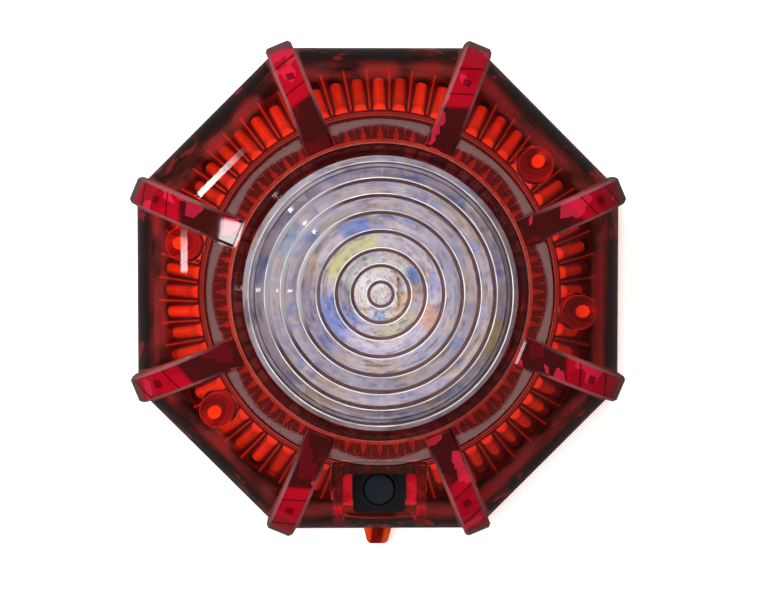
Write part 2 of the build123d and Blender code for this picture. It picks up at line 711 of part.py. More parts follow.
with BuildPart() as button_bezel:
    with BuildSketch(Plane.XY.offset(POCKET_Z)):
        with Locations((0, -40.8)):
            RectangleRounded(10.6, 8.8, 0.8)
    extrude(amount=1.4)
    with BuildSketch(Plane.XY.offset(POCKET_Z + 1.0)):
        with Locations((0, BUTTON_Y)):
            Circle(3.95)
    extrude(amount=1.2)
    with BuildSketch(Plane.XY.offset(POCKET_Z - 1)):
        with Locations((0, BUTTON_Y)):
            Circle(3.4)
    extrude(amount=5, mode=Mode.SUBTRACT)
button_bezel.part.label = "button_bezel"
export_step(button_bezel.part, "parts/button_bezel.step")

# two insulated leads from the switch board up to the lamp board
with BuildPart() as switch_lead:
    for x in (-2.0, 2.0):
        with BuildLine() as lead_path:
            FilletPolyline((x, -35.5, 9.8), (x, -35.5, 12.1), (x, -32.1, 12.1), (x, -32.1, 14.4), radius=1.0)
        with BuildSketch(Plane(origin=(x, -35.5, 9.8), z_dir=(0, 0, 1))):
            Circle(0.5)
        sweep(path=lead_path.wires()[0])
switch_lead.part.label = "switch_lead"
export_step(switch_lead.part, "parts/switch_lead.step")
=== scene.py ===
import bpy, bmesh, json, math
import numpy as np
from math import sin, cos, pi, radians, sqrt, atan2, hypot
from mathutils import Vector, Matrix


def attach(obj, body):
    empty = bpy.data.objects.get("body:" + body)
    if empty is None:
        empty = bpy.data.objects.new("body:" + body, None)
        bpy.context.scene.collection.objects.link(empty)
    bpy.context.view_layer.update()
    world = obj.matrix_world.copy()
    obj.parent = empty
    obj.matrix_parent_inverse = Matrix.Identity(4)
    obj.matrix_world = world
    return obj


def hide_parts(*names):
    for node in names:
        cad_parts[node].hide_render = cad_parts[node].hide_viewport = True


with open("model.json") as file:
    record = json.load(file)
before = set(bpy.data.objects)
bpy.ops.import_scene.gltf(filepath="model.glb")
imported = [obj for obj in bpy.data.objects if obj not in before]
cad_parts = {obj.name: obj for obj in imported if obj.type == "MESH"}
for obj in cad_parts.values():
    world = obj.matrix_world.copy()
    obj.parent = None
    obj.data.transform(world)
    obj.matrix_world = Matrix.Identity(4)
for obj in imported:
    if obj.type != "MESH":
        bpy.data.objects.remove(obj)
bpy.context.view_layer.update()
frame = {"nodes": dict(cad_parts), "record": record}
NODES = frame["nodes"]
BODY_OF = {n: b for b, ns in frame["record"]["behaviour"]["bodies"].items() for n in ns}
MM = 0.001
scene = bpy.context.scene
scene.view_settings.view_transform = "Standard"
scene.view_settings.look = "None"

# ------------------------------------------------------------------ mesh helpers


def finish_mesh(me, angle=30.0, smooth=True):
    bm = bmesh.new()
    bm.from_mesh(me)
    bmesh.ops.recalc_face_normals(bm, faces=bm.faces)
    bm.to_mesh(me)
    bm.free()
    if smooth:
        me.polygons.foreach_set("use_smooth", [True] * len(me.polygons))
        me.set_sharp_from_angle(angle=radians(angle))
    me.update()


def add_object(name, me, body):
    ob = bpy.data.objects.new(name, me)
    scene.collection.objects.link(ob)
    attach(ob, body)
    return ob


def mesh_object(name, verts, faces, body, angle=30.0, smooth=True):
    me = bpy.data.meshes.new(name)
    me.from_pydata(verts, [], faces)
    me.validate()
    finish_mesh(me, angle, smooth)
    return add_object(name, me, body)


def rounded(pts, r=0.15, n=3, closed=False):
    """Round each corner of a profile in (radius, height) pairs, in mm."""
    out = []
    count = len(pts)
    for i, p in enumerate(pts):
        if (not closed and i in (0, count - 1)) or p[0] < 1e-6:
            out.append(tuple(p))
            continue
        a, b, c = Vector(pts[i - 1]), Vector(p), Vector(pts[(i + 1) % count])
        u, v = (a - b), (c - b)
        lu, lv = u.length, v.length
        if lu < 1e-9 or lv < 1e-9:
            continue
        cut = min(r, 0.4 * lu, 0.4 * lv)
        p0, p2 = b + u / lu * cut, b + v / lv * cut
        for k in range(n + 1):
            t = k / n
            q = p0 * (1 - t) ** 2 + b * 2 * t * (1 - t) + p2 * t ** 2
            out.append((q.x, q.y))
    return out


def lathe_data(prof, segs=192, closed=False, centre=(0.0, 0.0)):
    verts, faces, rings = [], [], []
    for r, z in prof:
        if r < 1e-6:
            rings.append([len(verts)])
            verts.append((centre[0] * MM, centre[1] * MM, z * MM))
        else:
            s = len(verts)
            for k in range(segs):
                a = 2 * pi * k / segs
                verts.append(((centre[0] + r * cos(a)) * MM, (centre[1] + r * sin(a)) * MM, z * MM))
            rings.append(list(range(s, s + segs)))
    n = len(prof)
    for i in range(n if closed else n - 1):
        A, B = rings[i], rings[(i + 1) % n]
        for k in range(segs):
            k2 = (k + 1) % segs
            if len(A) == 1 and len(B) == 1:
                continue
            if len(A) == 1:
                faces.append((A[0], B[k2], B[k]))
            elif len(B) == 1:
                faces.append((A[k], A[k2], B[0]))
            else:
                faces.append((A[k], A[k2], B[k2], B[k]))
    return verts, faces


def lathe(name, prof, body, segs=192, closed=False, centre=(0.0, 0.0), angle=30.0, smooth=True):
    verts, faces = lathe_data(prof, segs, closed, centre)
    return mesh_object(name, verts, faces, body, angle, smooth)


def refined(node, width=0.15, angle=35.0, segments=2, shade=32.0):
    """The CAD node's own shape with its hard edges broken by a small bevel."""
    src = NODES[node]
    me = src.data.copy()
    me.name = node + "_fine"
    bm = bmesh.new()
    bm.from_mesh(me)
    bmesh.ops.remove_doubles(bm, verts=bm.verts, dist=2e-6)
    bmesh.ops.dissolve_limit(bm, angle_limit=radians(1.0), verts=bm.verts, edges=bm.edges)
    bmesh.ops.recalc_face_normals(bm, faces=bm.faces)
    if width > 0:
        edges = [e for e in bm.edges if len(e.link_faces) == 2 and e.calc_face_angle(0.0) > radians(angle)]
        bmesh.ops.bevel(bm, geom=edges, offset=width * MM, segments=segments, profile=0.7,
                        affect="EDGES", clamp_overlap=True, offset_type="OFFSET")
    bmesh.ops.triangulate(bm, faces=[f for f in bm.faces if len(f.verts) > 4])
    bm.to_mesh(me)
    bm.free()
    for name in list(me.attributes.keys()):
        if name == "custom_normal":
            me.attributes.remove(me.attributes[name])
    me.materials.clear()
    me.polygons.foreach_set("use_smooth", [True] * len(me.polygons))
    me.set_sharp_from_angle(angle=radians(shade))
    ob = add_object(node + "_fine", me, BODY_OF[node])
    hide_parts(node)
    return ob


def join_meshes(name, parts, body, angle=30.0, smooth=True):
    verts, faces = [], []
    for v, f in parts:
        base = len(verts)
        verts += list(v)
        faces += [tuple(i + base for i in face) for face in f]
    return mesh_object(name, verts, faces, body, angle, smooth)


# ------------------------------------------------------------------ material helpers


class Mat:
    def __init__(self, name):
        self.m = bpy.data.materials.new(name)
        self.m.use_nodes = True
        self.nt = self.m.node_tree
        self.bsdf = self.nt.nodes["Principled BSDF"]
        self.out = self.nt.nodes["Material Output"]
        self._coord = None

    def node(self, kind, **props):
        n = self.nt.nodes.new(kind)
        for k, v in props.items():
            setattr(n, k, v)
        return n

    def link(self, a, b):
        self.nt.links.new(a, b)

    def set(self, **vals):
        for k, v in vals.items():
            self.bsdf.inputs[k.replace("_", " ")].default_value = v
        return self

    @property
    def coord(self):
        if self._coord is None:
            self._coord = self.node("ShaderNodeTexCoord").outputs["Object"]
        return self._coord

    def noise(self, scale, detail=3.0, rough=0.5, vec=None):
        n = self.node("ShaderNodeTexNoise")
        n.inputs["Scale"].default_value = scale
        n.inputs["Detail"].default_value = detail
        n.inputs["Roughness"].default_value = rough
        self.link(vec or self.coord, n.inputs["Vector"])
        return n.outputs["Fac"]

    def ramp(self, fac, stops, interpolation="LINEAR"):
        n = self.node("ShaderNodeValToRGB")
        cr = n.color_ramp
        cr.interpolation = interpolation
        while len(cr.elements) < len(stops):
            cr.elements.new(0.5)
        for e, (p, c) in zip(cr.elements, stops):
            e.position = p
            e.color = c if len(c) == 4 else (*c, 1.0)
        self.link(fac, n.inputs["Fac"])
        return n.outputs["Color"]

    def math(self, op, a, b=None, c=None, clamp=False):
        n = self.node("ShaderNodeMath", operation=op, use_clamp=clamp)
        for i, v in enumerate((a, b, c)):
            if v is None:
                continue
            if isinstance(v, (int, float)):
                n.inputs[i].default_value = v
            else:
                self.link(v, n.inputs[i])
        return n.outputs[0]

    def smooth(self, value, lo, hi):
        n = self.node("ShaderNodeMapRange", interpolation_type="SMOOTHSTEP")
        self.link(value, n.inputs["Value"])
        n.inputs["From Min"].default_value = lo
        n.inputs["From Max"].default_value = hi
        return n.outputs["Result"]

    def mix(self, fac, a, b, blend="MIX"):
        n = self.node("ShaderNodeMix", data_type="RGBA", blend_type=blend)
        for sock, v in ((n.inputs[0], fac), (n.inputs[6], a), (n.inputs[7], b)):
            if isinstance(v, (int, float)):
                sock.default_value = v
            elif isinstance(v, tuple):
                sock.default_value = v if len(v) == 4 else (*v, 1.0)
            else:
                self.link(v, sock)
        return n.outputs[2]

    def bump(self, height, strength=0.2, distance=0.0001):
        n = self.node("ShaderNodeBump")
        n.inputs["Strength"].default_value = strength
        n.inputs["Distance"].default_value = distance
        self.link(height, n.inputs["Height"])
        self.link(n.outputs["Normal"], self.bsdf.inputs["Normal"])
        return n

    def polar(self):
        """(radius in mm, angle in radians, height in mm) of the shaded point."""
        sep = self.node("ShaderNodeSeparateXYZ")
        self.link(self.coord, sep.inputs[0])
        x, y, z = sep.outputs
        rr = self.math("SQRT", self.math("ADD", self.math("MULTIPLY", x, x), self.math("MULTIPLY", y, y)))
        r = self.math("MULTIPLY", rr, 1000.0)
        a = self.math("ARCTAN2", y, x)
        return r, a, self.math("MULTIPLY", z, 1000.0), x, y, z

    def see_through_shadow(self, color):
        """Lets light reach what lies behind the clear plastic."""
        lp = self.node("ShaderNodeLightPath")
        tr = self.node("ShaderNodeBsdfTransparent")
        tr.inputs["Color"].default_value = (*color, 1.0)
        mx = self.node("ShaderNodeMixShader")
        self.link(lp.outputs["Is Shadow Ray"], mx.inputs[0])
        self.link(self.bsdf.outputs[0], mx.inputs[1])
        self.link(tr.outputs[0], mx.inputs[2])
        self.link(mx.outputs[0], self.out.inputs["Surface"])
        return self


def moulded(name, color, rough=0.45, var=0.25, grain=900.0, bump=0.12, metallic=0.0, spec=0.5, coat=0.0, scuff=0.0):
    """Moulded or plated surface: mottled tint, spark-eroded grain and lighter scuffs."""
    m = Mat(name)
    big = m.noise(140.0, 4.0)
    dark = tuple(c * (1 - var) for c in color)
    light = tuple(min(1.0, c * (1 + var) + 0.004) for c in color)
    col = m.ramp(big, [(0.3, dark), (0.7, light)])
    if scuff > 0:
        s = m.noise(420.0, 8.0, 0.75)
        mask = m.smooth(s, 0.62, 0.74)
        mask = m.math("MULTIPLY", mask, scuff)
        col = m.mix(mask, col, tuple(min(1.0, c * 2.2 + 0.05) for c in color))
    m.link(col, m.bsdf.inputs["Base Color"])
    rn = m.noise(260.0, 5.0)
    rr = m.node("ShaderNodeMapRange")
    m.link(rn, rr.inputs["Value"])
    rr.inputs["To Min"].default_value = max(0.02, rough - 0.09)
    rr.inputs["To Max"].default_value = min(1.0, rough + 0.09)
    m.link(rr.outputs["Result"], m.bsdf.inputs["Roughness"])
    m.set(Metallic=metallic, Coat_Weight=coat)
    m.bsdf.inputs["Specular IOR Level"].default_value = spec
    g = m.noise(grain * 4.0, 2.0)
    m.bump(g, bump, 0.00006)
    return m


def assign(ob, mat):
    ob.data.materials.clear()
    ob.data.materials.append(mat.m if isinstance(mat, Mat) else mat)


# ------------------------------------------------------------------ clear plastics

# crimson shell: clear gores, dense ribs with inner facets and painted highlight lines on their bevels, filled bosses
BOSSES = [(0.040 * cos(radians(q)), 0.040 * sin(radians(q))) for q in (39.0, -6.0, 216.0, 166.0)]
shell = Mat("crimson_shell")
r, ang, hz, sx, sy, sz = shell.polar()
fold = shell.math("SUBTRACT", shell.math("MODULO", shell.math("ADD", ang, 2 * pi), pi / 4), pi / 8)
slat = shell.math("MULTIPLY", r, shell.math("SINE", fold))
lat = shell.math("ABSOLUTE", slat)


def inside(m, value, limit, soft=0.08):
    return m.math("SUBTRACT", 1.0, m.smooth(value, limit - soft, limit + soft), clamp=True)


def beyond(m, value, limit, soft=0.08):
    return m.smooth(value, limit - soft, limit + soft)


def both(m, *masks):
    out = masks[0]
    for k in masks[1:]:
        out = m.math("MULTIPLY", out, k)
    return out


rib_mask = both(shell, inside(shell, lat, 2.86, 0.05), beyond(shell, r, 30.35, 0.15))
jit = shell.noise(23.0, 0.0)
jit = shell.math("MULTIPLY", shell.math("SUBTRACT", jit, 0.5), 7.0)
rr = shell.math("ADD", r, jit)
slant = shell.math("ADD", rr, shell.math("MULTIPLY", slat, 0.4))
edge_noise = shell.math("MULTIPLY", shell.noise(420.0, 3.0), 0.9)
start_bright = shell.math("ADD", slant, edge_noise)
rib_col = shell.ramp(shell.smooth(start_bright, 40.6, 42.6),
                     [(0.0, (0.040, 0.003, 0.003)), (0.42, (0.075, 0.002, 0.004)), (0.58, (0.25, 0.001, 0.006)), (1.0, (0.34, 0.002, 0.011))])
# mottled depth inside the plastic
vr = shell.node("ShaderNodeTexVoronoi", distance="CHEBYCHEV", feature="F1")
vr.inputs["Scale"].default_value = 300.0
shell.link(shell.coord, vr.inputs["Vector"])
fsep = shell.node("ShaderNodeSeparateColor")
shell.link(vr.outputs["Color"], fsep.inputs[0])
rib_col = shell.mix(shell.math("MULTIPLY", beyond(shell, fsep.outputs[0], 0.72, 0.02), 0.4), rib_col, (0.16, 0.001, 0.008))
rib_col = shell.mix(shell.math("MULTIPLY", inside(shell, fsep.outputs[1], 0.12, 0.02), 0.5), rib_col, (0.72, 0.02, 0.06))


def stripe(centre, half, soft=0.1):
    d = shell.math("ABSOLUTE", shell.math("SUBTRACT", slant, centre))
    return inside(shell, d, half, soft)


for centre, half in ((50.3, 0.24), (44.2, 0.16)):
    rib_col = shell.mix(shell.math("MULTIPLY", stripe(centre, half), 0.85), rib_col, (0.05, 0.0, 0.003))
spot = both(shell, inside(shell, shell.math("ABSOLUTE", shell.math("SUBTRACT", rr, 46.9)), 0.75, 0.12), inside(shell, lat, 0.8, 0.12))
rib_col = shell.mix(shell.math("MULTIPLY", spot, 0.8), rib_col, (0.09, 0.0, 0.004))
# greyish outer tip, and painted highlight lines along the rib bevels
tip = beyond(shell, r, 52.6, 0.5)
rib_col = shell.mix(shell.math("MULTIPLY", tip, 0.86), rib_col, (0.085, 0.055, 0.055))
bevel = both(shell, beyond(shell, lat, 2.3, 0.07), beyond(shell, r, 38.0, 6.0))
rib_col = shell.mix(shell.math("MULTIPLY", bevel, 0.75), rib_col, (0.22, 0.11, 0.12))

dist = None
for bx, by in BOSSES:
    dx = shell.math("SUBTRACT", sx, bx)
    dy = shell.math("SUBTRACT", sy, by)
    dd = shell.math("MULTIPLY", shell.math("SQRT", shell.math("ADD", shell.math("MULTIPLY", dx, dx), shell.math("MULTIPLY", dy, dy))), 1000.0)
    dist = dd if dist is None else shell.math("MINIMUM", dist, dd)
boss_mask = both(shell, inside(shell, dist, 3.5, 0.04), inside(shell, hz, 23.5, 0.3), beyond(shell, hz, 4.6, 0.1))
boss_col = shell.mix(inside(shell, dist, 1.5, 0.15), (0.62, 0.012, 0.02), (0.95, 0.14, 0.02))
boss_col = shell.mix(both(shell, beyond(shell, dist, 2.9, 0.1)), boss_col, (0.9, 0.05, 0.05))
ax_ = shell.math("MULTIPLY", shell.math("ABSOLUTE", sx), 1000.0)
ym = shell.math("MULTIPLY", sy, 1000.0)
rail_mask = both(shell, beyond(shell, ax_, 5.55, 0.05), inside(shell, ax_, 7.45, 0.05), inside(shell, ym, -36.1, 0.1), beyond(shell, ym, -43.1, 0.1),
                 beyond(shell, hz, 17.15, 0.05), inside(shell, hz, 21.7, 0.1))
tub_mask = both(shell, beyond(shell, ax_, 7.5, 0.05), inside(shell, ax_, 9.4, 0.05), inside(shell, ym, -34.5, 0.1), beyond(shell, hz, 15.0, 0.1), inside(shell, hz, 23.5, 0.3))
# painted glints: small crimson spots on the inner wall beside the ribs
glint_spots = both(shell, beyond(shell, shell.noise(210.0, 2.0), 0.635, 0.07), beyond(shell, lat, 3.2, 0.3), inside(shell, lat, 13.0, 2.0), beyond(shell, r, 43.5, 0.8),
             inside(shell, hz, 17.0, 1.0))
apo = shell.math("MULTIPLY", r, shell.math("COSINE", shell.math("SUBTRACT", pi / 8, shell.math("ABSOLUTE", fold))))
wall_glow = both(shell, beyond(shell, apo, 42.8, 1.0), inside(shell, apo, 45.4, 0.5), beyond(shell, lat, 3.0, 0.2))
wall_glow = shell.math("MULTIPLY", wall_glow, shell.smooth(shell.noise(150.0, 2.0), 0.32, 0.68))
gn = shell.noise(60.0, 3.0)
gcol = shell.ramp(gn, [(0.35, (0.84, 0.155, 0.13)), (0.65, (0.90, 0.21, 0.17))])
col = shell.mix(rib_mask, gcol, rib_col)
col = shell.mix(boss_mask, col, boss_col)
col = shell.mix(rail_mask, col, shell.mix(shell.smooth(shell.noise(500.0, 2.0), 0.3, 0.7), (0.26, 0.003, 0.010), (0.48, 0.008, 0.020)))
tub_stripes = shell.smooth(shell.noise(650.0, 2.0), 0.35, 0.7)
col = shell.mix(tub_mask, col, shell.mix(tub_stripes, (0.05, 0.002, 0.002), (0.20, 0.010, 0.006)))
col = shell.mix(shell.math("MULTIPLY", wall_glow, 0.8), col, (0.70, 0.006, 0.022))
col = shell.mix(glint_spots, col, (0.80, 0.006, 0.045))
shell.link(col, shell.bsdf.inputs["Base Color"])
solid = shell.math("MAXIMUM", shell.math("MAXIMUM", shell.math("MULTIPLY", tub_mask, 0.8), shell.math("MAXIMUM", shell.math("MULTIPLY", glint_spots, 0.42), shell.math("MULTIPLY", wall_glow, 0.15))), shell.math("MAXIMUM", shell.math("MAXIMUM", shell.math("MULTIPLY", rib_mask, 0.86), shell.math("MULTIPLY", boss_mask, 0.75)), shell.math("MULTIPLY", rail_mask, 0.9)))
shell.link(shell.math("SUBTRACT", 1.0, solid), shell.bsdf.inputs["Transmission Weight"])
shell.set(Roughness=0.02, IOR=1.49)
shell.see_through_shadow((1.0, 0.76, 0.66))

lens_mat = Mat("water_clear_lens")
lr, la, lz, *_ = lens_mat.polar()
# painted reflections: each zone carries its own soft patches of colour
lcomb = lens_mat.node("ShaderNodeCombineXYZ")
lens_mat.link(lens_mat.math("MULTIPLY", lr, 0.42), lcomb.inputs[0])
lens_mat.link(lens_mat.math("MULTIPLY", lens_mat.math("COSINE", la), 1.15), lcomb.inputs[1])
lens_mat.link(lens_mat.math("MULTIPLY", lens_mat.math("SINE", la), 1.15), lcomb.inputs[2])
ln = lens_mat.noise(1.5, 2.0, 0.55, lcomb.outputs[0])
lens_mat.link(lens_mat.ramp(ln, [(0.25, (0.34, 0.50, 1.0)), (0.33, (0.80, 0.80, 0.97)), (0.42, (0.92, 0.88, 0.93)), (0.55, (0.97, 0.94, 0.95)),
                                 (0.61, (1.0, 0.76, 0.46)), (0.65, (0.97, 0.93, 0.74)), (0.70, (0.88, 0.86, 0.97)), (0.80, (0.60, 0.70, 1.0))]),
              lens_mat.bsdf.inputs["Base Color"])
lcol = lens_mat.bsdf.inputs["Base Color"].links[0].from_socket
lpos = lens_mat.node("ShaderNodeSeparateXYZ")
lens_mat.link(lens_mat.coord, lpos.inputs[0])
# listed patches by azimuth and radius: painted reflections in blue, gold, orange and white, and painted shade in
# mauve-grey
for azc, half_az, rlo, rhi, tone in ((128.0, 34.0, 8.9, 11.7, (0.95, 0.93, 0.38)), (205.0, 26.0, 8.9, 12.0, (0.45, 0.56, 0.98)),
                                     (-25.0, 13.0, 8.9, 12.0, (1.0, 0.62, 0.42)), (-22.0, 9.0, 22.6, 25.3, (1.0, 0.84, 0.36)),
                                     (-22.0, 30.0, 3.2, 5.3, (1.0, 0.70, 0.42)), (266.0, 14.0, 3.2, 5.3, (0.52, 0.64, 1.0)), (42.0, 20.0, 3.0, 5.3, (0.72, 0.55, 0.48)),
                                     (150.0, 22.0, 3.2, 8.0, (1.0, 1.0, 1.0)), (-62.0, 30.0, 6.1, 8.4, (0.90, 0.88, 0.55)), (8.0, 14.0, 6.1, 8.4, (1.0, 0.74, 0.46)),
                                     (215.0, 17.0, 6.1, 8.4, (0.50, 0.60, 0.98)), (28.0, 12.0, 6.1, 8.4, (0.45, 0.62, 1.0)), (180.0, 16.0, 6.1, 8.4, (0.60, 0.56, 0.62)),
                                     (180.0, 52.0, 23.0, 25.7, (0.56, 0.50, 0.57)), (85.0, 30.0, 23.0, 25.7, (0.70, 0.66, 0.74)),
                                     (200.0, 40.0, 12.6, 15.6, (0.74, 0.68, 0.70)), (10.0, 30.0, 12.6, 15.6, (0.78, 0.76, 0.80)),
                                     (112.0, 12.0, 12.6, 15.6, (0.40, 0.55, 1.0)), (150.0, 10.0, 19.6, 22.0, (0.62, 0.80, 1.0))):
    ca_c, sa_c = cos(radians(azc)), sin(radians(azc))
    along = lens_mat.math("ADD", lens_mat.math("MULTIPLY", lpos.outputs[0], ca_c * 1000.0), lens_mat.math("MULTIPLY", lpos.outputs[1], sa_c * 1000.0))
    cosd = lens_mat.math("DIVIDE", along, lens_mat.math("MAXIMUM", lr, 0.1))
    ch = cos(radians(half_az))
    msk = both(lens_mat, lens_mat.smooth(cosd, ch - (1 - ch) * 0.5, ch + (1 - ch) * 0.5), beyond(lens_mat, lr, rlo, 0.35), inside(lens_mat, lr, rhi, 0.35))
    lcol = lens_mat.mix(lens_mat.math("MULTIPLY", msk, 0.85), lcol, tone)
# painted shade: the lens colour darkens from the centre out to the rim
painted_rim_shade = lens_mat.ramp(lens_mat.smooth(lr, 9.0, 26.0), [(0.0, (0.97, 0.96, 0.96)), (0.5, (0.84, 0.81, 0.82)), (1.0, (0.76, 0.68, 0.69))])
lcol = lens_mat.mix(1.0, lcol, painted_rim_shade, "MULTIPLY")
# painted highlights and painted shade: broad light and dark mottling multiplied over the zones
lc2 = lens_mat.node("ShaderNodeCombineXYZ")
lens_mat.link(lens_mat.math("MULTIPLY", lr, 1.3), lc2.inputs[0])
lens_mat.link(lens_mat.math("MULTIPLY", lens_mat.math("COSINE", la), 2.6), lc2.inputs[1])
lens_mat.link(lens_mat.math("MULTIPLY", lens_mat.math("SINE", la), 2.6), lc2.inputs[2])
painted_light_mottle = lens_mat.ramp(lens_mat.noise(1.3, 3.0, 0.6, lc2.outputs[0]), [(0.34, (0.46, 0.44, 0.50)), (0.45, (0.90, 0.88, 0.92)), (0.52, (1.0, 1.0, 1.0)), (0.66, (0.78, 0.74, 0.78))])
lcol = lens_mat.mix(1.0, lcol, painted_light_mottle, "MULTIPLY")
lens_mat.link(lcol, lens_mat.bsdf.inputs["Base Color"])
lens_mat.set(Roughness=0.01, IOR=1.49, Transmission_Weight=1.0)
lens_mat.see_through_shadow((0.97, 0.975, 0.985))
# riser faces: dark brown as painted shade, turning silver-grey as a painted highlight on the side toward 160 degrees in
# the outer rings
riser_mat = Mat("lens_riser")
vn = riser_mat.noise(300.0, 3.0)
rv_r, rv_a, rv_z, rv_x, rv_y, rv_zz = riser_mat.polar()
toward = riser_mat.math("DIVIDE", riser_mat.math("MULTIPLY", riser_mat.math("ADD", riser_mat.math("MULTIPLY", rv_x, cos(radians(160))), riser_mat.math("MULTIPLY", rv_y, sin(radians(160)))), 1000.0), rv_r)
lit_side = both(riser_mat, riser_mat.smooth(toward, 0.62, 0.96), riser_mat.smooth(rv_r, 11.0, 17.0))
brown_r = riser_mat.ramp(vn, [(0.3, (0.075, 0.035, 0.035)), (0.7, (0.13, 0.065, 0.055))])
riser_mat.link(riser_mat.mix(lit_side, brown_r, (0.85, 0.84, 0.88)), riser_mat.bsdf.inputs["Base Color"])
riser_mat.set(Roughness=0.18, IOR=1.49, Transmission_Weight=0.25)
# thin faces beside each riser: painted highlight, white with grey patches
edge_mat = Mat("lens_bright_edge")
en = edge_mat.noise(160.0, 2.0)
edge_mat.link(edge_mat.ramp(en, [(0.38, (0.55, 0.52, 0.56)), (0.62, (1.0, 1.0, 1.0))]), edge_mat.bsdf.inputs["Base Color"])
edge_mat.set(Roughness=0.1, IOR=1.49, Transmission_Weight=0.35)
# band on the lens skirt, half metallic, so the silver of the reflector reaches the lens rim; its light, dark, blue and
# gold patches are painted reflections
band_mat = Mat("lens_rim_reflection_band")
bn_ = band_mat.noise(130.0, 3.0, 0.6)
band_mat.link(band_mat.ramp(bn_, [(0.30, (0.30, 0.28, 0.33)), (0.45, (0.72, 0.68, 0.76)), (0.55, (0.92, 0.90, 0.95)), (0.66, (0.55, 0.62, 0.92)), (0.75, (0.95, 0.85, 0.6))]),
              band_mat.bsdf.inputs["Base Color"])
band_mat.set(Roughness=0.15, Metallic=0.5)

# orange-red fluted ring; its shade colour attribute holds painted highlights and painted shade, laid out from the shape
# of its flutes
flute_mat = Mat("fluted_orange_red")
att = flute_mat.node("ShaderNodeAttribute", attribute_name="shade")
fn = flute_mat.noise(500.0, 4.0)
tint = flute_mat.ramp(fn, [(0.3, (0.82, 0.82, 0.82)), (0.7, (1.0, 1.0, 1.0))])
flute_mat.link(flute_mat.mix(1.0, att.outputs["Color"], tint, "MULTIPLY"), flute_mat.bsdf.inputs["Base Color"])
flute_mat.set(Roughness=0.10, IOR=1.49, Transmission_Weight=0.15, Coat_Weight=0.5)

hook_mat = Mat("hook_orange_red")
hmap = hook_mat.node("ShaderNodeMapping")
hmap.inputs["Scale"].default_value = (1.0, 0.25, 1.0)
hook_mat.link(hook_mat.coord, hmap.inputs["Vector"])
# painted highlight: noise stretched along the hook lays bright orange glint streaks over dark red
glint_streak_noise = hook_mat.noise(420.0, 2.0, 0.5, hmap.outputs[0])
hook_mat.link(hook_mat.ramp(glint_streak_noise, [(0.36, (0.10, 0.006, 0.003)), (0.48, (0.45, 0.018, 0.006)), (0.60, (0.95, 0.13, 0.02))]), hook_mat.bsdf.inputs["Base Color"])
hook_mat.set(Roughness=0.06, IOR=1.49, Transmission_Weight=0.6)
hook_mat.see_through_shadow((0.95, 0.35, 0.15))

# metallised reflector; its colour carries painted reflections: per-facet brightness, light and dark mottling, and blue
# and gold patches
chrome = Mat("metallised_facets")
cr_, ca_, cz_, *_ = chrome.polar()
cell_a = chrome.math("FLOOR", chrome.math("MULTIPLY", ca_, 48 / (2 * pi)))
cell_r = chrome.math("FLOOR", chrome.math("MULTIPLY", cr_, 0.42))
cc = chrome.node("ShaderNodeCombineXYZ")
chrome.link(cell_a, cc.inputs[0])
chrome.link(cell_r, cc.inputs[1])
wn_ = chrome.node("ShaderNodeTexWhiteNoise", noise_dimensions="3D")
chrome.link(cc.outputs[0], wn_.inputs["Vector"])
cn = chrome.noise(150.0, 3.0, 0.6)
mixv = chrome.math("ADD", chrome.math("MULTIPLY", wn_.outputs["Value"], 0.12), chrome.math("MULTIPLY", cn, 0.90))
painted_facet_reflections = chrome.ramp(mixv, [(0.20, (0.30, 0.30, 0.34)), (0.30, (0.62, 0.62, 0.68)), (0.38, (0.88, 0.85, 0.89)), (0.50, (0.98, 0.95, 0.97)),
                          (0.58, (0.74, 0.76, 0.88)), (0.64, (0.52, 0.62, 0.98)), (0.69, (0.95, 0.93, 0.95)), (0.75, (1.0, 0.80, 0.42)), (0.80, (0.95, 0.95, 0.98))])
chrome.link(painted_facet_reflections, chrome.bsdf.inputs["Base Color"])
chrome.set(Metallic=0.65, Roughness=0.08)

# ------------------------------------------------------------------ opaque finishes
black_tray = moulded("spark_black", (0.012, 0.012, 0.014), 0.5, 0.25, 900.0, 0.25, scuff=0.25)
black_satin = moulded("satin_black", (0.004, 0.004, 0.005), 0.42, 0.2, 1400.0, 0.1, spec=0.25)
rubber = moulded("seal_rubber_mat", (0.02, 0.02, 0.022), 0.75, 0.2, 1200.0, 0.3)
button_mat = moulded("button_rubber_mat", (0.004, 0.006, 0.010), 0.5, 0.3, 1300.0, 0.22, spec=0.22, scuff=0.3)
steel = moulded("zinc_steel", (0.62, 0.62, 0.64), 0.28, 0.08, 700.0, 0.08, metallic=1.0)
nickel = moulded("nickel_plate", (0.78, 0.77, 0.73), 0.2, 0.06, 500.0, 0.05, metallic=1.0)
magnet_plate = moulded("magnet_plate", (0.30, 0.30, 0.31), 0.36, 0.06, 500.0, 0.05, metallic=1.0)
white_mask = moulded("white_solder_mask", (0.78, 0.79, 0.75), 0.35, 0.05, 700.0, 0.06)
green_mask = moulded("green_solder_mask", (0.02, 0.16, 0.06), 0.32, 0.2, 700.0, 0.06)
epoxy_black = moulded("epoxy_black", (0.02, 0.02, 0.022), 0.55, 0.15, 900.0, 0.15)
led_body = moulded("led_red_epoxy", (0.8, 0.03, 0.02), 0.12, 0.1, 500.0, 0.02)
lead_mat = moulded("lead_red", (0.55, 0.03, 0.03), 0.4, 0.1, 600.0, 0.05)

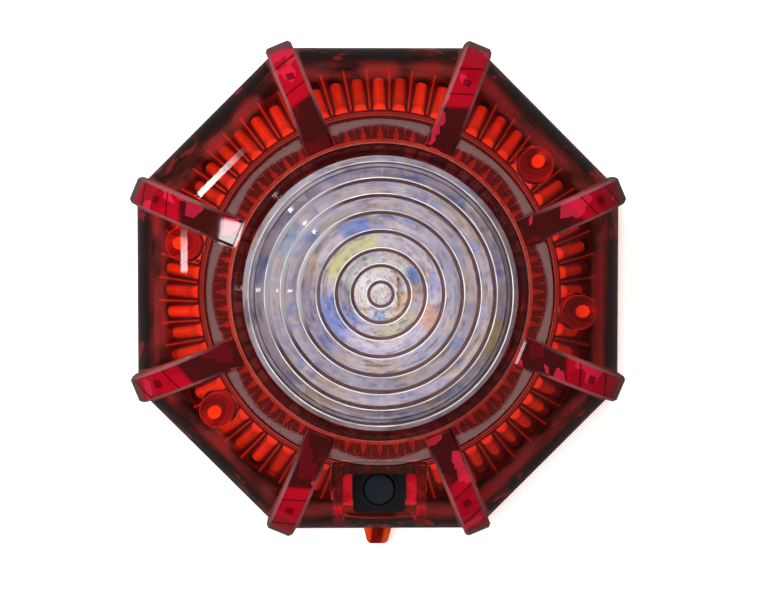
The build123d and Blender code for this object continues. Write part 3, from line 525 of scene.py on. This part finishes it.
phosphor = Mat("phosphor_package")
pr, pa, pz, *_ = phosphor.polar()
pn = phosphor.noise(2500.0, 3.0)
pm = phosphor.math("SUBTRACT", 1.0, phosphor.smooth(pr, 1.6, 1.9), clamp=True)
phosphor.link(phosphor.mix(pm, phosphor.ramp(pn, [(0.3, (0.8, 0.8, 0.76)), (0.7, (0.9, 0.9, 0.87))]),
                           phosphor.ramp(pn, [(0.3, (0.96, 0.95, 0.86)), (0.7, (1.0, 1.0, 0.95))])), phosphor.bsdf.inputs["Base Color"])
phosphor.set(Roughness=0.25)

# ------------------------------------------------------------------ shell
cover_me = NODES["outer_cover"].data.copy()
cover_me.name = "outer_cover_fine"
for vtx in cover_me.vertices:
    if 0.0048 < vtx.co.z < 0.0052 and any(hypot(vtx.co.x - bx, vtx.co.y - by) < 0.0036 for bx, by in BOSSES):
        vtx.co.z += 0.0002
cover_me.update()
cover = add_object("outer_cover_fine", cover_me, "housing")
assign(cover, shell)
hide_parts("outer_cover")

# ------------------------------------------------------------------ clear lens
RINGS = (2.4, 5.6, 8.7, 12.3, 16.0, 19.3, 22.4, 25.7)
TOP = 34.2
prof = [(0.0, TOP - 0.02)]
prev, start = 0.0, 0.0
risers = []
for k, ring in enumerate(RINGS):
    depth = min(1.25, 0.25 + 0.05 * (prev + ring) / 2)
    last = k == len(RINGS) - 1
    half = 0.16 if last else 0.33
    end = ring - half - 0.12
    n = 6
    for j in range(1, n + 1):
        t = j / n
        # each zone is a slice of a shallow convex surface
        prof.append((start + (end - start) * t, TOP - 0.02 - (depth - 0.02) * (0.72 * t + 0.28 * t * t)))
    prof.append((ring - half, TOP - depth - 0.0))
    risers.append(len(prof) - 1)
    prof.append((ring + half, TOP - 0.06))
    prof.append((ring + half + 0.08, TOP - 0.01))
    start, prev = ring + half + 0.18, ring
    if k < len(RINGS) - 1:
        prof.append((start, TOP - 0.02))
tail = [(26.05, TOP - 0.01), (26.2, TOP - 0.14), (29.66, 26.95), (29.7, 26.8), (29.7, 24.3), (32.1, 24.3), (32.2, 24.2),
        (32.2, 22.98), (32.12, 22.9), (27.6, 22.9), (27.6, 25.0), (25.75, 28.7), (24.6, 31.0), (0.0, 31.0)]
lens = lathe("clear_lens_fine", prof + tail, "housing", segs=288, angle=24)
assign(lens, lens_mat)
lens.data.materials.append(riser_mat.m)
lens.data.materials.append(edge_mat.m)
lens.data.materials.append(band_mat.m)
edges_ = [((prof[i + 1][0] + 0.01) * MM, (prof[i + 1][0] + 0.17) * MM) for i in risers]
bands = [((prof[i][0] + 0.02) * MM, (prof[i + 1][0] - 0.02) * MM) for i in risers]
for p in lens.data.polygons:
    rad = hypot(*p.center[:2])
    if p.center.z > 0.0322 and abs(p.normal.z) < 0.97 and any(lo < rad < hi for lo, hi in bands):
        p.material_index = 1
    elif p.center.z > 0.0340 and any(lo < rad < hi for lo, hi in edges_):
        p.material_index = 2
    elif 0.0287 < p.center.z < 0.0309 and 0.0246 < rad < 0.0258:
        p.material_index = 3
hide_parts("clear_lens")

# ------------------------------------------------------------------ reflector with facets
SEG = 32
rows = []
for j in range(11):
    t = j / 10
    # same bowl as the CAD cup: arc through three points
    rows.append(t)


def arc3(p0, p1, p2, n):
    ax, ay = p0; bx, by = p1; cx, cy = p2
    d = 2 * (ax * (by - cy) + bx * (cy - ay) + cx * (ay - by))
    ox = ((ax**2 + ay**2) * (by - cy) + (bx**2 + by**2) * (cy - ay) + (cx**2 + cy**2) * (ay - by)) / d
    oy = ((ax**2 + ay**2) * (cx - bx) + (bx**2 + by**2) * (ax - cx) + (cx**2 + cy**2) * (bx - ax)) / d
    rad = hypot(ax - ox, ay - oy)
    a0, a1, a2 = (atan2(p[1] - oy, p[0] - ox) for p in (p0, p1, p2))
    if not (min(a0, a2) <= a1 <= max(a0, a2)):
        if a2 < a0: a2 += 2 * pi
        else: a0 += 2 * pi
    return [(ox + rad * cos(a0 + (a2 - a0) * i / n), oy + rad * sin(a0 + (a2 - a0) * i / n)) for i in range(n + 1)]


bowl = arc3((5.0, 17.4), (17.1, 21.4), (22.9, 30.2), 7)
back = arc3((24.0, 30.0), (17.9, 20.6), (6.0, 16.6), 12)
prof = bowl + [(22.9, 31.0), (24.4, 31.0), (24.4, 30.0)] + back + [(6.0, 16.0), (5.0, 16.0)]
verts, faces = lathe_data(prof, 48, closed=True)
# the lathe's flat-shaded quads are the facets
V = np.array(verts)
refl = mesh_object("reflector_facets", [tuple(v) for v in V], faces, "housing", smooth=False)
bm = bmesh.new(); bm.from_mesh(refl.data)
bmesh.ops.recalc_face_normals(bm, faces=bm.faces)
bm.to_mesh(refl.data); bm.free()
for p in refl.data.polygons:
    p.use_smooth = False
assign(refl, chrome)
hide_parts("reflector_cup")

# ------------------------------------------------------------------ fluted diffuser
TOP_R, FOOT_R, Z_TOP, Z_LOW = 36.2, 46.0, 22.9, 6.5
cdx, cdz = FOOT_R - TOP_R, Z_LOW - Z_TOP
clen = hypot(cdx, cdz)
ux, uz = cdx / clen, cdz / clen
nx, nz = -uz, ux
PITCH = 2 * pi / 60
COLS = 60 * 14


def smoothstep(x, a, b):
    t = np.clip((x - a) / (b - a), 0, 1)
    return t * t * (3 - 2 * t)


# flute colours: orange for the bars, dark maroon as painted shade in the gaps and on the flange, bright orange for the
# ridge lines, near-black as painted shade at the bars' outer ends
ORANGE = np.array([1.0, 0.21, 0.06])
DEEP = np.array([0.14, 0.008, 0.005])
LINE = np.array([1.0, 0.26, 0.08])
END_SHADE_BLACK = np.array([0.012, 0.002, 0.002])


rng = np.random.RandomState(11)
GAIN = rng.uniform(0.72, 1.18, 60)
CAP_AT = rng.uniform(11.4, 12.8, 60)
CAP_DARK = np.clip(rng.uniform(0.45, 1.25, 60), 0, 1)
CAP_DARK[12:19] = 1.0
# flutes 47 to 1 get painted shade over their outer ends, so they look shorter; their shape is unchanged
SHADED_END = np.zeros(60)
SHADED_END[[k for k in range(60) if k >= 47 or k <= 1]] = 1.0
FLUTE_ID = (np.floor((np.arange(60 * 14) * 2 * pi / (60 * 14) + PITCH / 2) / PITCH).astype(int)) % 60
STREAK = rng.uniform(0.8, 1.12, 60 * 14)


def cone_surface(t, off, r):
    """Height and colour on the cone; t is mm down the cone, off the angle from the flute's middle. The colour holds
    painted highlights on the bars and painted shade between and around them.
    """
    s = off * r                                   # mm sideways from the bar's middle
    half = 1.3
    t0, t1 = -2.0, 16.4
    d = np.hypot(s, np.maximum(0, np.maximum(t0 + half - t, t - (t1 - half))))
    h = np.where(d < half, 1.05 * np.sqrt(np.maximum(0, 1 - (d / half) ** 2)) ** 0.8, 0.0)
    bar = 1 - smoothstep(d, half - 0.2, half - 0.02)
    e = np.minimum(PITCH / 2 - np.abs(off), PITCH / 2) * r      # mm from the line midway between bars
    ridge = np.where(np.abs(e) < 0.3, 0.25 * (1 - (e / 0.3) ** 2), 0.0) * smoothstep(t, 0.4, 1.0)
    line = (1 - smoothstep(np.abs(e), 0.12, 0.24)) * smoothstep(t, 0.4, 1.0)
    gain = GAIN[FLUTE_ID]
    # painted shade fills the gaps between bars; the ridge line runs through it
    col = DEEP * 0.9 * (1 - line[..., None]) + LINE * (line * (0.55 + 0.45 * gain))[..., None]
    # painted highlight: each bar is brightest and yellowest along its middle, darker toward its sides, and its
    # brightness changes along its length
    across = np.cos(np.clip(s / half, -1, 1) * pi / 2)
    glow_ = ORANGE * (gain * STREAK * (0.45 + 0.65 * across ** 0.7))[..., None]
    glow_[..., 1] *= 0.65 + 0.5 * across
    glow_ *= (0.75 + 0.35 * smoothstep(t, 0.2, 4.0) - 0.15 * smoothstep(t, 8.0, 12.0))[..., None]
    # painted shade over the outer ends of the flutes flagged above
    fade_out = 1 - 0.78 * SHADED_END[FLUTE_ID] * smoothstep(t + 1.6 * (s / half) ** 2, 7.6, 9.0)
    glow_ = glow_ * fade_out[..., None]
    col = col * (1 - bar[..., None]) + glow_ * bar[..., None]
    # painted shade along the edge of each bar
    edge = smoothstep(d, half - 0.25, half - 0.02) * (1 - smoothstep(d, half + 0.05, half + 0.3))
    col = col * (1 - 0.8 * edge[..., None])
    # glints where each bar meets the flange
    lip = smoothstep(t, 0.05, 0.3) * (1 - smoothstep(t, 0.5, 0.9)) * (np.abs(s) < half)
    col = col * (1 - lip[..., None]) + LINE * 1.1 * lip[..., None]
    # painted shade at each bar's outer end, near black; the bar is also made lower there
    cap = smoothstep(t, CAP_AT[FLUTE_ID], CAP_AT[FLUTE_ID] + 0.25) * (1 - smoothstep(d, half - 0.12, half + 0.05)) * CAP_DARK[FLUTE_ID]
    col = col * (1 - cap[..., None]) + END_SHADE_BLACK * cap[..., None]
    h = h * smoothstep(t, 0.15, 1.1) * (1 - 0.45 * np.clip(cap, 0, 1))
    return h + ridge, col


def flange_surface(r, off):
    """Depth and colour on the flat top flange: teardrops, thin lines and window blocks."""
    s = off * r
    # teardrop: round end inwards, point outwards
    rc = 31.15
    w = np.where(r < rc, np.sqrt(np.maximum(0, 0.56 ** 2 - (r - rc) ** 2)),
                 0.56 * np.clip(1 - (np.maximum(r - rc, 0) / 1.95) ** 1.35, 0, 1))
    w = np.where(r > rc + 1.95, 0, w)
    inside = smoothstep(w - np.abs(s), -0.02, 0.12)
    inner = smoothstep(0.42 * w - np.abs(s), -0.02, 0.1) * smoothstep(r, rc - 0.45, rc - 0.2)
    e = (PITCH / 2 - np.abs(off)) * r
    line = (1 - smoothstep(np.abs(e), 0.05, 0.16)) * smoothstep(r, 29.4, 29.6) * (1 - smoothstep(r, 33.5, 33.7))
    col = np.zeros(r.shape + (3,)) + DEEP * 0.35
    col = col * (1 - line[..., None]) + LINE * 0.24 * line[..., None]
    col = col * (1 - inside[..., None]) + ORANGE * 0.85 * inside[..., None]
    col = col * (1 - 0.55 * inner[..., None])
    # window blocks on the inner edge
    blk = (1 - smoothstep(np.abs(s), 1.12, 1.26)) * smoothstep(r, 26.8, 27.0) * (1 - smoothstep(r, 28.6, 28.8))
    # two pale rings on the flange are painted highlight lines
    for rl, gain_l in ((35.3, 0.62), (35.75, 0.4)):
        highlight_ring = 1 - smoothstep(np.abs(r - rl), 0.04, 0.15)
        col = col * (1 - highlight_ring[..., None]) + np.array([0.8, 0.55, 0.55]) * gain_l * highlight_ring[..., None]
    brown = np.array([0.13, 0.014, 0.009])
    col = col * (1 - blk[..., None]) + (brown * (GAIN[FLUTE_ID] ** 3 * STREAK ** 2)[..., None]) * blk[..., None]
    depth = -0.25 * inside - 0.25 * blk + 0.0 * line
    return depth, col


prof_pts, kinds = [], []
NF, NC = 46, 58
for j in range(NF + 1):                       # top flange, inner edge outwards
    prof_pts.append((26.4 + (TOP_R - 26.4) * j / NF, Z_TOP)); kinds.append(("flange", 0))
for j in range(1, NC + 1):                    # down the cone
    t = clen * j / NC
    prof_pts.append((TOP_R + ux * t, Z_TOP + uz * t)); kinds.append(("cone", t))
for p in [(46.0, 4.5), (44.0, 4.5), (44.0, 6.33), (35.06, 21.3), (26.4, 21.3)]:
    prof_pts.append(p); kinds.append(("plain", 0))
theta = np.arange(COLS) * 2 * pi / COLS
off = (theta + PITCH / 2) % PITCH - PITCH / 2   # bars centred on multiples of 6 degrees
P = np.array(prof_pts)
R = np.repeat(P[:, 0][:, None], COLS, 1)
Z = np.repeat(P[:, 1][:, None], COLS, 1)
OFF = np.repeat(off[None, :], len(P), 0)
COL = np.zeros(R.shape + (3,)) + DEEP
for i, (kind, t) in enumerate(kinds):
    if kind == "flange":
        dep, col = flange_surface(R[i], OFF[i])
        keep = 0.0 if i in (0, NF) else 1.0
        Z[i] += dep * keep - 0.03
        COL[i] = col
    elif kind == "cone":
        h, col = cone_surface(np.full(COLS, t), OFF[i], R[i])
        R[i] += nx * h
        Z[i] += nz * h
        COL[i] = col
verts = np.stack([R * np.cos(theta) * MM, R * np.sin(theta) * MM, Z * MM], -1).reshape(-1, 3)
faces = []
n = len(P)
for i in range(n):
    i2 = (i + 1) % n
    for k in range(COLS):
        k2 = (k + 1) % COLS
        faces.append((i * COLS + k, i * COLS + k2, i2 * COLS + k2, i2 * COLS + k))
me = bpy.data.meshes.new("fluted_diffuser_fine")
me.from_pydata([tuple(v) for v in verts], [], faces)
ca = me.color_attributes.new(name="shade", type="FLOAT_COLOR", domain="POINT")
rgba = np.ones((verts.shape[0], 4), np.float32)
rgba[:, :3] = COL.reshape(-1, 3)
ca.data.foreach_set("color", rgba.ravel())
finish_mesh(me, 40)
diff = add_object("fluted_diffuser_fine", me, "housing")
assign(diff, flute_mat)
# clearance for the screw bosses and the button tub
cutters = []
for az in (39.0, -6.0, 216.0, 166.0):
    v, f = lathe_data([(0, 4.0), (3.85, 4.0), (3.85, 26.0), (0, 26.0)], 48, centre=(40 * cos(radians(az)), 40 * sin(radians(az))))
    cutters.append((v, f))
x0, x1, y0, y1, z0, z1 = -9.7, 9.7, -52.0, -34.2, 7.0, 27.0
bv = [(x * MM, y * MM, z * MM) for z in (z0, z1) for y in (y0, y1) for x in (x0, x1)]
bf = [(0, 2, 3, 1), (4, 5, 7, 6), (0, 1, 5, 4), (2, 6, 7, 3), (0, 4, 6, 2), (1, 3, 7, 5)]
cutters.append((bv, bf))
cutter = join_meshes("cutter_tmp", cutters, "housing", smooth=False)
mod = diff.modifiers.new("cut", "BOOLEAN")
mod.object = cutter
mod.operation = "DIFFERENCE"
mod.solver = "EXACT"
bpy.context.view_layer.update()
dg = bpy.context.evaluated_depsgraph_get()
new = bpy.data.meshes.new_from_object(diff.evaluated_get(dg))
diff.modifiers.clear()
diff.data = new
new.name = "fluted_diffuser_fine"
new.materials.clear()
new.materials.append(flute_mat.m)
bpy.data.objects.remove(cutter)
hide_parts("fluted_diffuser")

# ------------------------------------------------------------------ button
BY = -40.4
cap_prof = rounded([(4.2, 14.4), (4.2, 15.1), (3.1, 15.1), (3.1, 19.9), (2.9, 20.25), (0.0, 20.3)], 0.25, 4)
cap_prof = [(0.0, 14.4)] + cap_prof[:-1] + [(2.2, 20.22), (1.4, 20.12), (0.7, 20.08), (0.0, 20.07)]
cap = lathe("button_cap_fine", cap_prof, "button", segs=72, centre=(0, BY))
assign(cap, button_mat)
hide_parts("button_cap")

# ------------------------------------------------------------------ springs, cells and small parts


def spring(name, xa, xb, y, z, ra, rb, turns, wire, body):
    """Conical coil along X with closed end turns."""
    verts, faces = [], []
    steps, ring = int(turns * 26), 8
    pts = []
    for i in range(steps + 1):
        t = i / steps
        # closed turns at both ends
        g = t * turns
        lead = 0.0 if g < 0.9 else (1.0 if g > turns - 0.9 else (g - 0.9) / (turns - 1.8))
        x = xa + (xb - xa) * (0.06 + 0.88 * lead)
        rad = ra + (rb - ra) * t
        pts.append(Vector((x, y + rad * cos(2 * pi * g), z + rad * sin(2 * pi * g))))
    for i, p in enumerate(pts):
        tan = (pts[min(i + 1, steps)] - pts[max(i - 1, 0)]).normalized()
        out = Vector((0, p.y - y, p.z - z)).normalized()
        bin_ = tan.cross(out).normalized()
        for k in range(ring):
            a = 2 * pi * k / ring
            q = p + out * (wire * cos(a)) + bin_ * (wire * sin(a))
            verts.append((q.x * MM, q.y * MM, q.z * MM))
    for i in range(steps):
        for k in range(ring):
            k2 = (k + 1) % ring
            faces.append((i * ring + k, i * ring + k2, (i + 1) * ring + k2, (i + 1) * ring + k))
    faces.append(tuple(range(ring))[::-1])
    faces.append(tuple(range(steps * ring, steps * ring + ring)))
    return verts, faces


parts = []
for y, side in ((-11.0, 1), (0.0, -1), (11.0, 1)):
    parts.append(spring("s", -side * 25.1, -side * (25.1 - 5.7), y, 7.6, 3.1, 2.1, 4.5, 0.3, "housing"))
springs = join_meshes("battery_springs_coils", parts, "housing", angle=60)
assign(springs, nickel)
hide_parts("battery_springs")

cell_mat = Mat("cell_sleeve")
cs = cell_mat.node("ShaderNodeSeparateXYZ")
cell_mat.link(cell_mat.coord, cs.inputs[0])
cx = cell_mat.math("ABSOLUTE", cs.outputs[0])
cn2 = cell_mat.noise(180.0, 4.0)
body_col = cell_mat.ramp(cn2, [(0.3, (0.012, 0.016, 0.03)), (0.7, (0.02, 0.026, 0.045))])
copper = cell_mat.ramp(cn2, [(0.3, (0.62, 0.3, 0.12)), (0.7, (0.74, 0.4, 0.18))])
band = cell_mat.smooth(cx, 0.0138, 0.0140)
cell_mat.link(cell_mat.mix(band, body_col, copper), cell_mat.bsdf.inputs["Base Color"])
cell_mat.set(Roughness=0.28, Metallic=0.35)
for k, (y, side) in enumerate(((-11.0, 1), (0.0, -1), (11.0, 1)), 1):
    tip, sh = 25.1, 24.3
    tailx = sh - 43.7
    pr2 = rounded([(0.0, tailx + 0.15), (4.3, tailx + 0.15), (4.5, tailx), (4.95, tailx), (5.25, tailx + 0.3), (5.25, sh - 0.45), (4.7, sh), (4.3, sh),
                   (4.1, sh - 0.25), (2.3, sh - 0.25), (1.9, sh - 0.05), (1.9, tip - 0.15), (1.7, tip), (0.0, tip)], 0.12, 2)
    v, f = lathe_data(pr2, 64)
    v = [(side * p[2], p[0] + y * MM, p[1] + 7.6 * MM) for p in v]
    cell = mesh_object(f"battery_cell_{k}_fine", v, f, "housing")
    assign(cell, cell_mat)
    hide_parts(f"battery_cell_{k}")

# ------------------------------------------------------------------ finishes on the CAD pieces
plain = {
    "base_tray": black_tray, "battery_door": black_tray, "button_bezel": black_satin,
    "perimeter_gasket": rubber, "door_gasket": rubber, "case_screws": steel, "door_screw_left": steel,
    "door_screw_right": steel, "board_screws": steel, "hook_pin": steel, "magnets": magnet_plate,
    "contact_positive_terminal": nickel, "contact_negative_terminal": nickel, "contact_bridge_left": nickel,
    "contact_bridge_right": nickel, "circuit_board": white_mask, "switch_board": green_mask,
    "driver_chip": epoxy_black, "resistors": epoxy_black, "tact_switch_body": epoxy_black,
    "switch_plunger": black_satin, "red_leds": led_body, "white_led": phosphor, "switch_lead": lead_mat,
}
for node, m in plain.items():
    assign(NODES[node], m)

clear_seal = Mat("silicone_seal")
sn = clear_seal.noise(500.0, 2.0)
clear_seal.link(clear_seal.ramp(sn, [(0.3, (0.55, 0.30, 0.28)), (0.7, (0.66, 0.38, 0.35))]), clear_seal.bsdf.inputs["Base Color"])
clear_seal.set(Roughness=0.15, IOR=1.41, Transmission_Weight=0.72)
clear_seal.see_through_shadow((0.7, 0.6, 0.6))
assign(NODES["lens_gasket"], clear_seal)
hook = refined("hang_hook", 0.2)
assign(hook, hook_mat)

# ------------------------------------------------------------------ stage: floor, light, camera
fl = bpy.data.meshes.new("floor")
hole_r = [0.0494 / cos(((2 * pi * k / 64) + pi / 8) % (pi / 4) - pi / 8) for k in range(64)]
fv = [(hole_r[k] * cos(2 * pi * k / 64), hole_r[k] * sin(2 * pi * k / 64), -0.00005) for k in range(64)]
fv += [(6.0 * cos(2 * pi * k / 64), 6.0 * sin(2 * pi * k / 64), -0.00005) for k in range(64)]
fl.from_pydata(fv, [], [(k, 64 + k, 64 + (k + 1) % 64, (k + 1) % 64) for k in range(64)])
floor = bpy.data.objects.new("floor", fl)
scene.collection.objects.link(floor)
fm = Mat("pale_floor")
fnz = fm.noise(30.0, 3.0)
flp = fm.node("ShaderNodeLightPath")
seen = fm.mix(flp.outputs["Is Transmission Ray"], (0.062, 0.061, 0.06), (0.006, 0.005, 0.005))
fm.link(fm.mix(flp.outputs["Is Camera Ray"], seen, fm.ramp(fnz, [(0.3, (0.88, 0.88, 0.88)), (0.7, (0.9, 0.9, 0.9))])),
        fm.bsdf.inputs["Base Color"])
fm.set(Roughness=1.0)
fm.bsdf.inputs["Specular IOR Level"].default_value = 0.0
fm.bsdf.inputs["Emission Color"].default_value = (1, 1, 1, 1)
fm.link(fm.math("MULTIPLY", flp.outputs["Is Camera Ray"], 0.28), fm.bsdf.inputs["Emission Strength"])
geo = fm.node("ShaderNodeNewGeometry")
ftr = fm.node("ShaderNodeBsdfTransparent")
fmx = fm.node("ShaderNodeMixShader")
fm.link(geo.outputs["Backfacing"], fmx.inputs[0])
fm.link(fm.bsdf.outputs[0], fmx.inputs[1])
fm.link(ftr.outputs[0], fmx.inputs[2])
fm.link(fmx.outputs[0], fm.out.inputs["Surface"])
assign(floor, fm)

world = bpy.data.worlds.new("studio")
scene.world = world
world.use_nodes = True
wn = world.node_tree
bg = wn.nodes["Background"]
tc = wn.nodes.new("ShaderNodeTexCoord")
sp = wn.nodes.new("ShaderNodeSeparateXYZ")
wn.links.new(tc.outputs["Generated"], sp.inputs[0])
rp = wn.nodes.new("ShaderNodeValToRGB")
rp.color_ramp.elements[0].position = 0.0
rp.color_ramp.elements[0].color = (0.032, 0.032, 0.032, 1)
rp.color_ramp.elements[1].position = 0.85
rp.color_ramp.elements[1].color = (0.055, 0.055, 0.06, 1)
wn.links.new(sp.outputs[2], rp.inputs["Fac"])
wlp = wn.nodes.new("ShaderNodeLightPath")
# light leaving clear plastic meets a bright ceiling; outer faces mirror a dim room
rp2 = wn.nodes.new("ShaderNodeValToRGB")
for el_, (pos_, c_) in zip((rp2.color_ramp.elements[0], rp2.color_ramp.elements[1]), ((0.25, (0.02, 0.02, 0.02, 1)), (0.8, (0.80, 0.80, 0.86, 1)))):
    el_.position, el_.color = pos_, c_
wn.links.new(sp.outputs[2], rp2.inputs["Fac"])
wmx0 = wn.nodes.new("ShaderNodeMix"); wmx0.data_type = "RGBA"
wn.links.new(wlp.outputs["Is Transmission Ray"], wmx0.inputs[0])
wn.links.new(rp.outputs[0], wmx0.inputs[6])
wn.links.new(rp2.outputs[0], wmx0.inputs[7])
wmx = wn.nodes.new("ShaderNodeMix"); wmx.data_type = "RGBA"
wn.links.new(wlp.outputs["Is Camera Ray"], wmx.inputs[0])
wn.links.new(wmx0.outputs[2], wmx.inputs[6])
wmx.inputs[7].default_value = (0.93, 0.93, 0.93, 1)
wn.links.new(wmx.outputs[2], bg.inputs["Color"])
bg.inputs["Strength"].default_value = 1.0


def area(name, loc, aim, size, watts, size_y=None, shape="RECTANGLE", glossy=True, color=(1, 1, 1)):
    li = bpy.data.lights.new(name, "AREA")
    li.shape = shape
    li.size = size
    if size_y is not None:
        li.size_y = size_y
    li.energy = watts
    li.color = color
    ob = bpy.data.objects.new(name, li)
    scene.collection.objects.link(ob)
    ob.location = loc
    d = Vector(aim) - Vector(loc)
    ob.rotation_euler = d.to_track_quat("-Z", "Y").to_euler()
    ob.visible_glossy = glossy
    ob.visible_transmission = glossy
    return ob


def glow(name, verts, faces, strength, fade=None):
    me = bpy.data.meshes.new(name)
    me.from_pydata(verts, [], faces)
    ob = bpy.data.objects.new(name, me)
    scene.collection.objects.link(ob)
    m = bpy.data.materials.new(name)
    m.use_nodes = True
    nt = m.node_tree
    nt.nodes.clear()
    em = nt.nodes.new("ShaderNodeEmission")
    out = nt.nodes.new("ShaderNodeOutputMaterial")
    em.inputs["Strength"].default_value = strength
    nt.links.new(em.outputs[0], out.inputs[0])
    if fade:
        axis, lo, hi = fade
        c = nt.nodes.new("ShaderNodeTexCoord")
        sp_ = nt.nodes.new("ShaderNodeSeparateXYZ")
        mr = nt.nodes.new("ShaderNodeMapRange")
        mr.interpolation_type = "SMOOTHSTEP"
        nt.links.new(c.outputs["Object"], sp_.inputs[0])
        nt.links.new(sp_.outputs[axis], mr.inputs["Value"])
        mr.inputs["From Min"].default_value = lo
        mr.inputs["From Max"].default_value = hi
        mr.inputs["To Min"].default_value = 0.03 * strength
        mr.inputs["To Max"].default_value = strength
        nt.links.new(mr.outputs["Result"], em.inputs["Strength"])
    me.materials.append(m)
    ob.visible_camera = False
    ob.visible_diffuse = False
    ob.visible_shadow = False
    ob.visible_transmission = False
    return ob


# thin lit ring overhead, seen as a crescent round the ledge in each gore
rv, rf, keep = [], [], []
NS = 360
for k in range(NS):
    t = 2 * pi * k / NS
    q = (t + pi / 8) % (pi / 4) - pi / 8          # zero in the middle of a gore
    u = min(1.0, abs(q) / (pi / 8))
    r_in, r_out = 33.5 - 1.6 * u ** 1.5, 34.6 - 0.15 * u
    keep.append(abs(q) < radians(17.6))
    for rad in (r_in, r_out):
        rv.append((0.020 + 3.064 * rad * MM * cos(t), -0.040 + 3.064 * rad * MM * sin(t), 0.9))
rf = [(2 * k, 2 * k + 1, (2 * k + 3) % (2 * NS), (2 * k + 2) % (2 * NS)) for k in range(NS) if keep[k] and keep[(k + 1) % NS]]
glow("ledge_ring", rv, rf, 2.6)
# small panel caught by the inner end of one rib
cx_, cy_ = -0.0707, -0.0026
glow("rib_glint", [(cx_ - 0.0075, cy_ - 0.0075, 0.9), (cx_ + 0.0055, cy_ - 0.0090, 0.9), (cx_ + 0.0075, cy_ + 0.0055, 0.9), (cx_ - 0.0055, cy_ + 0.0075, 0.9)],
     [(0, 1, 2, 3)], 17.0)

# broad fills that leave no glare on the shell
area("fill_top", (-0.34, 0.20, 1.02), (0, 0, 0), 0.9, 17.5, 0.9, glossy=False)
area("fill_front", (0.0, -0.9, 0.5), (0, 0, 0.01), 0.7, 4.5, 0.5, glossy=False)
area("fill_back", (-0.3, 0.9, 0.5), (0, 0, 0.01), 0.7, 6.5, 0.5, glossy=False)
area("fill_below", (0.25, -0.3, -0.8), (0, 0, 0), 0.7, 4.5, 0.7)
# two narrow strips that streak the left and upper-left gores
for k, (azd, shift, wide, power, fade) in enumerate(((180.0, -0.007, 0.021, 14.0, (1, 0.0125, -0.004)), (135.0, -0.0225, 0.031, 27.0, (1, 0.0165, -0.012)))):
    a = radians(azd)
    L, el = 0.6, radians(39)
    nrm = Vector((cos(a), sin(a), 0))
    tan_ = Vector((0, 1, 0)) if azd == 180.0 else Vector((0.7071, 0.7071, 0))
    loc = nrm * (0.04 + L * cos(el)) + tan_ * shift + Vector((0, 0, 0.025 + L * sin(el)))
    face_dir = (nrm * 0.04 + Vector((0, 0, 0.025)) - loc).normalized()
    long_ = tan_
    side = long_.cross(face_dir).normalized()
    hw, hl = 0.054 if k == 0 else 0.046, wide / 2
    pts = [(-hw, -hl), (hw, -hl), (hw, hl), (-hw, hl)]
    ob = glow(f"strip_{k}", [(x, y, 0) for x, y in pts], [(0, 1, 2, 3)], power, fade)
    ob.matrix_world = Matrix(((side.x, long_.x, face_dir.x, loc.x), (side.y, long_.y, face_dir.y, loc.y), (side.z, long_.z, face_dir.z, loc.z), (0, 0, 0, 1)))

cam = bpy.data.cameras.new("camera")
camo = bpy.data.objects.new("camera", cam)
scene.collection.objects.link(camo)
scene.camera = camo
cam.sensor_width = 36.0
cam.lens = 100.8
cam.clip_start = 0.01
cam.clip_end = 20
eye = Vector((-0.0097, 0.0193, 0.45))
aim = Vector((0.0006, -0.0027, 0.0))
fwd = (aim - eye).normalized()
right = fwd.cross(Vector((0, 1, 0))).normalized()
up = right.cross(fwd).normalized()
camo.matrix_world = Matrix(((right.x, up.x, -fwd.x, eye.x), (right.y, up.y, -fwd.y, eye.y), (right.z, up.z, -fwd.z, eye.z), (0, 0, 0, 1)))
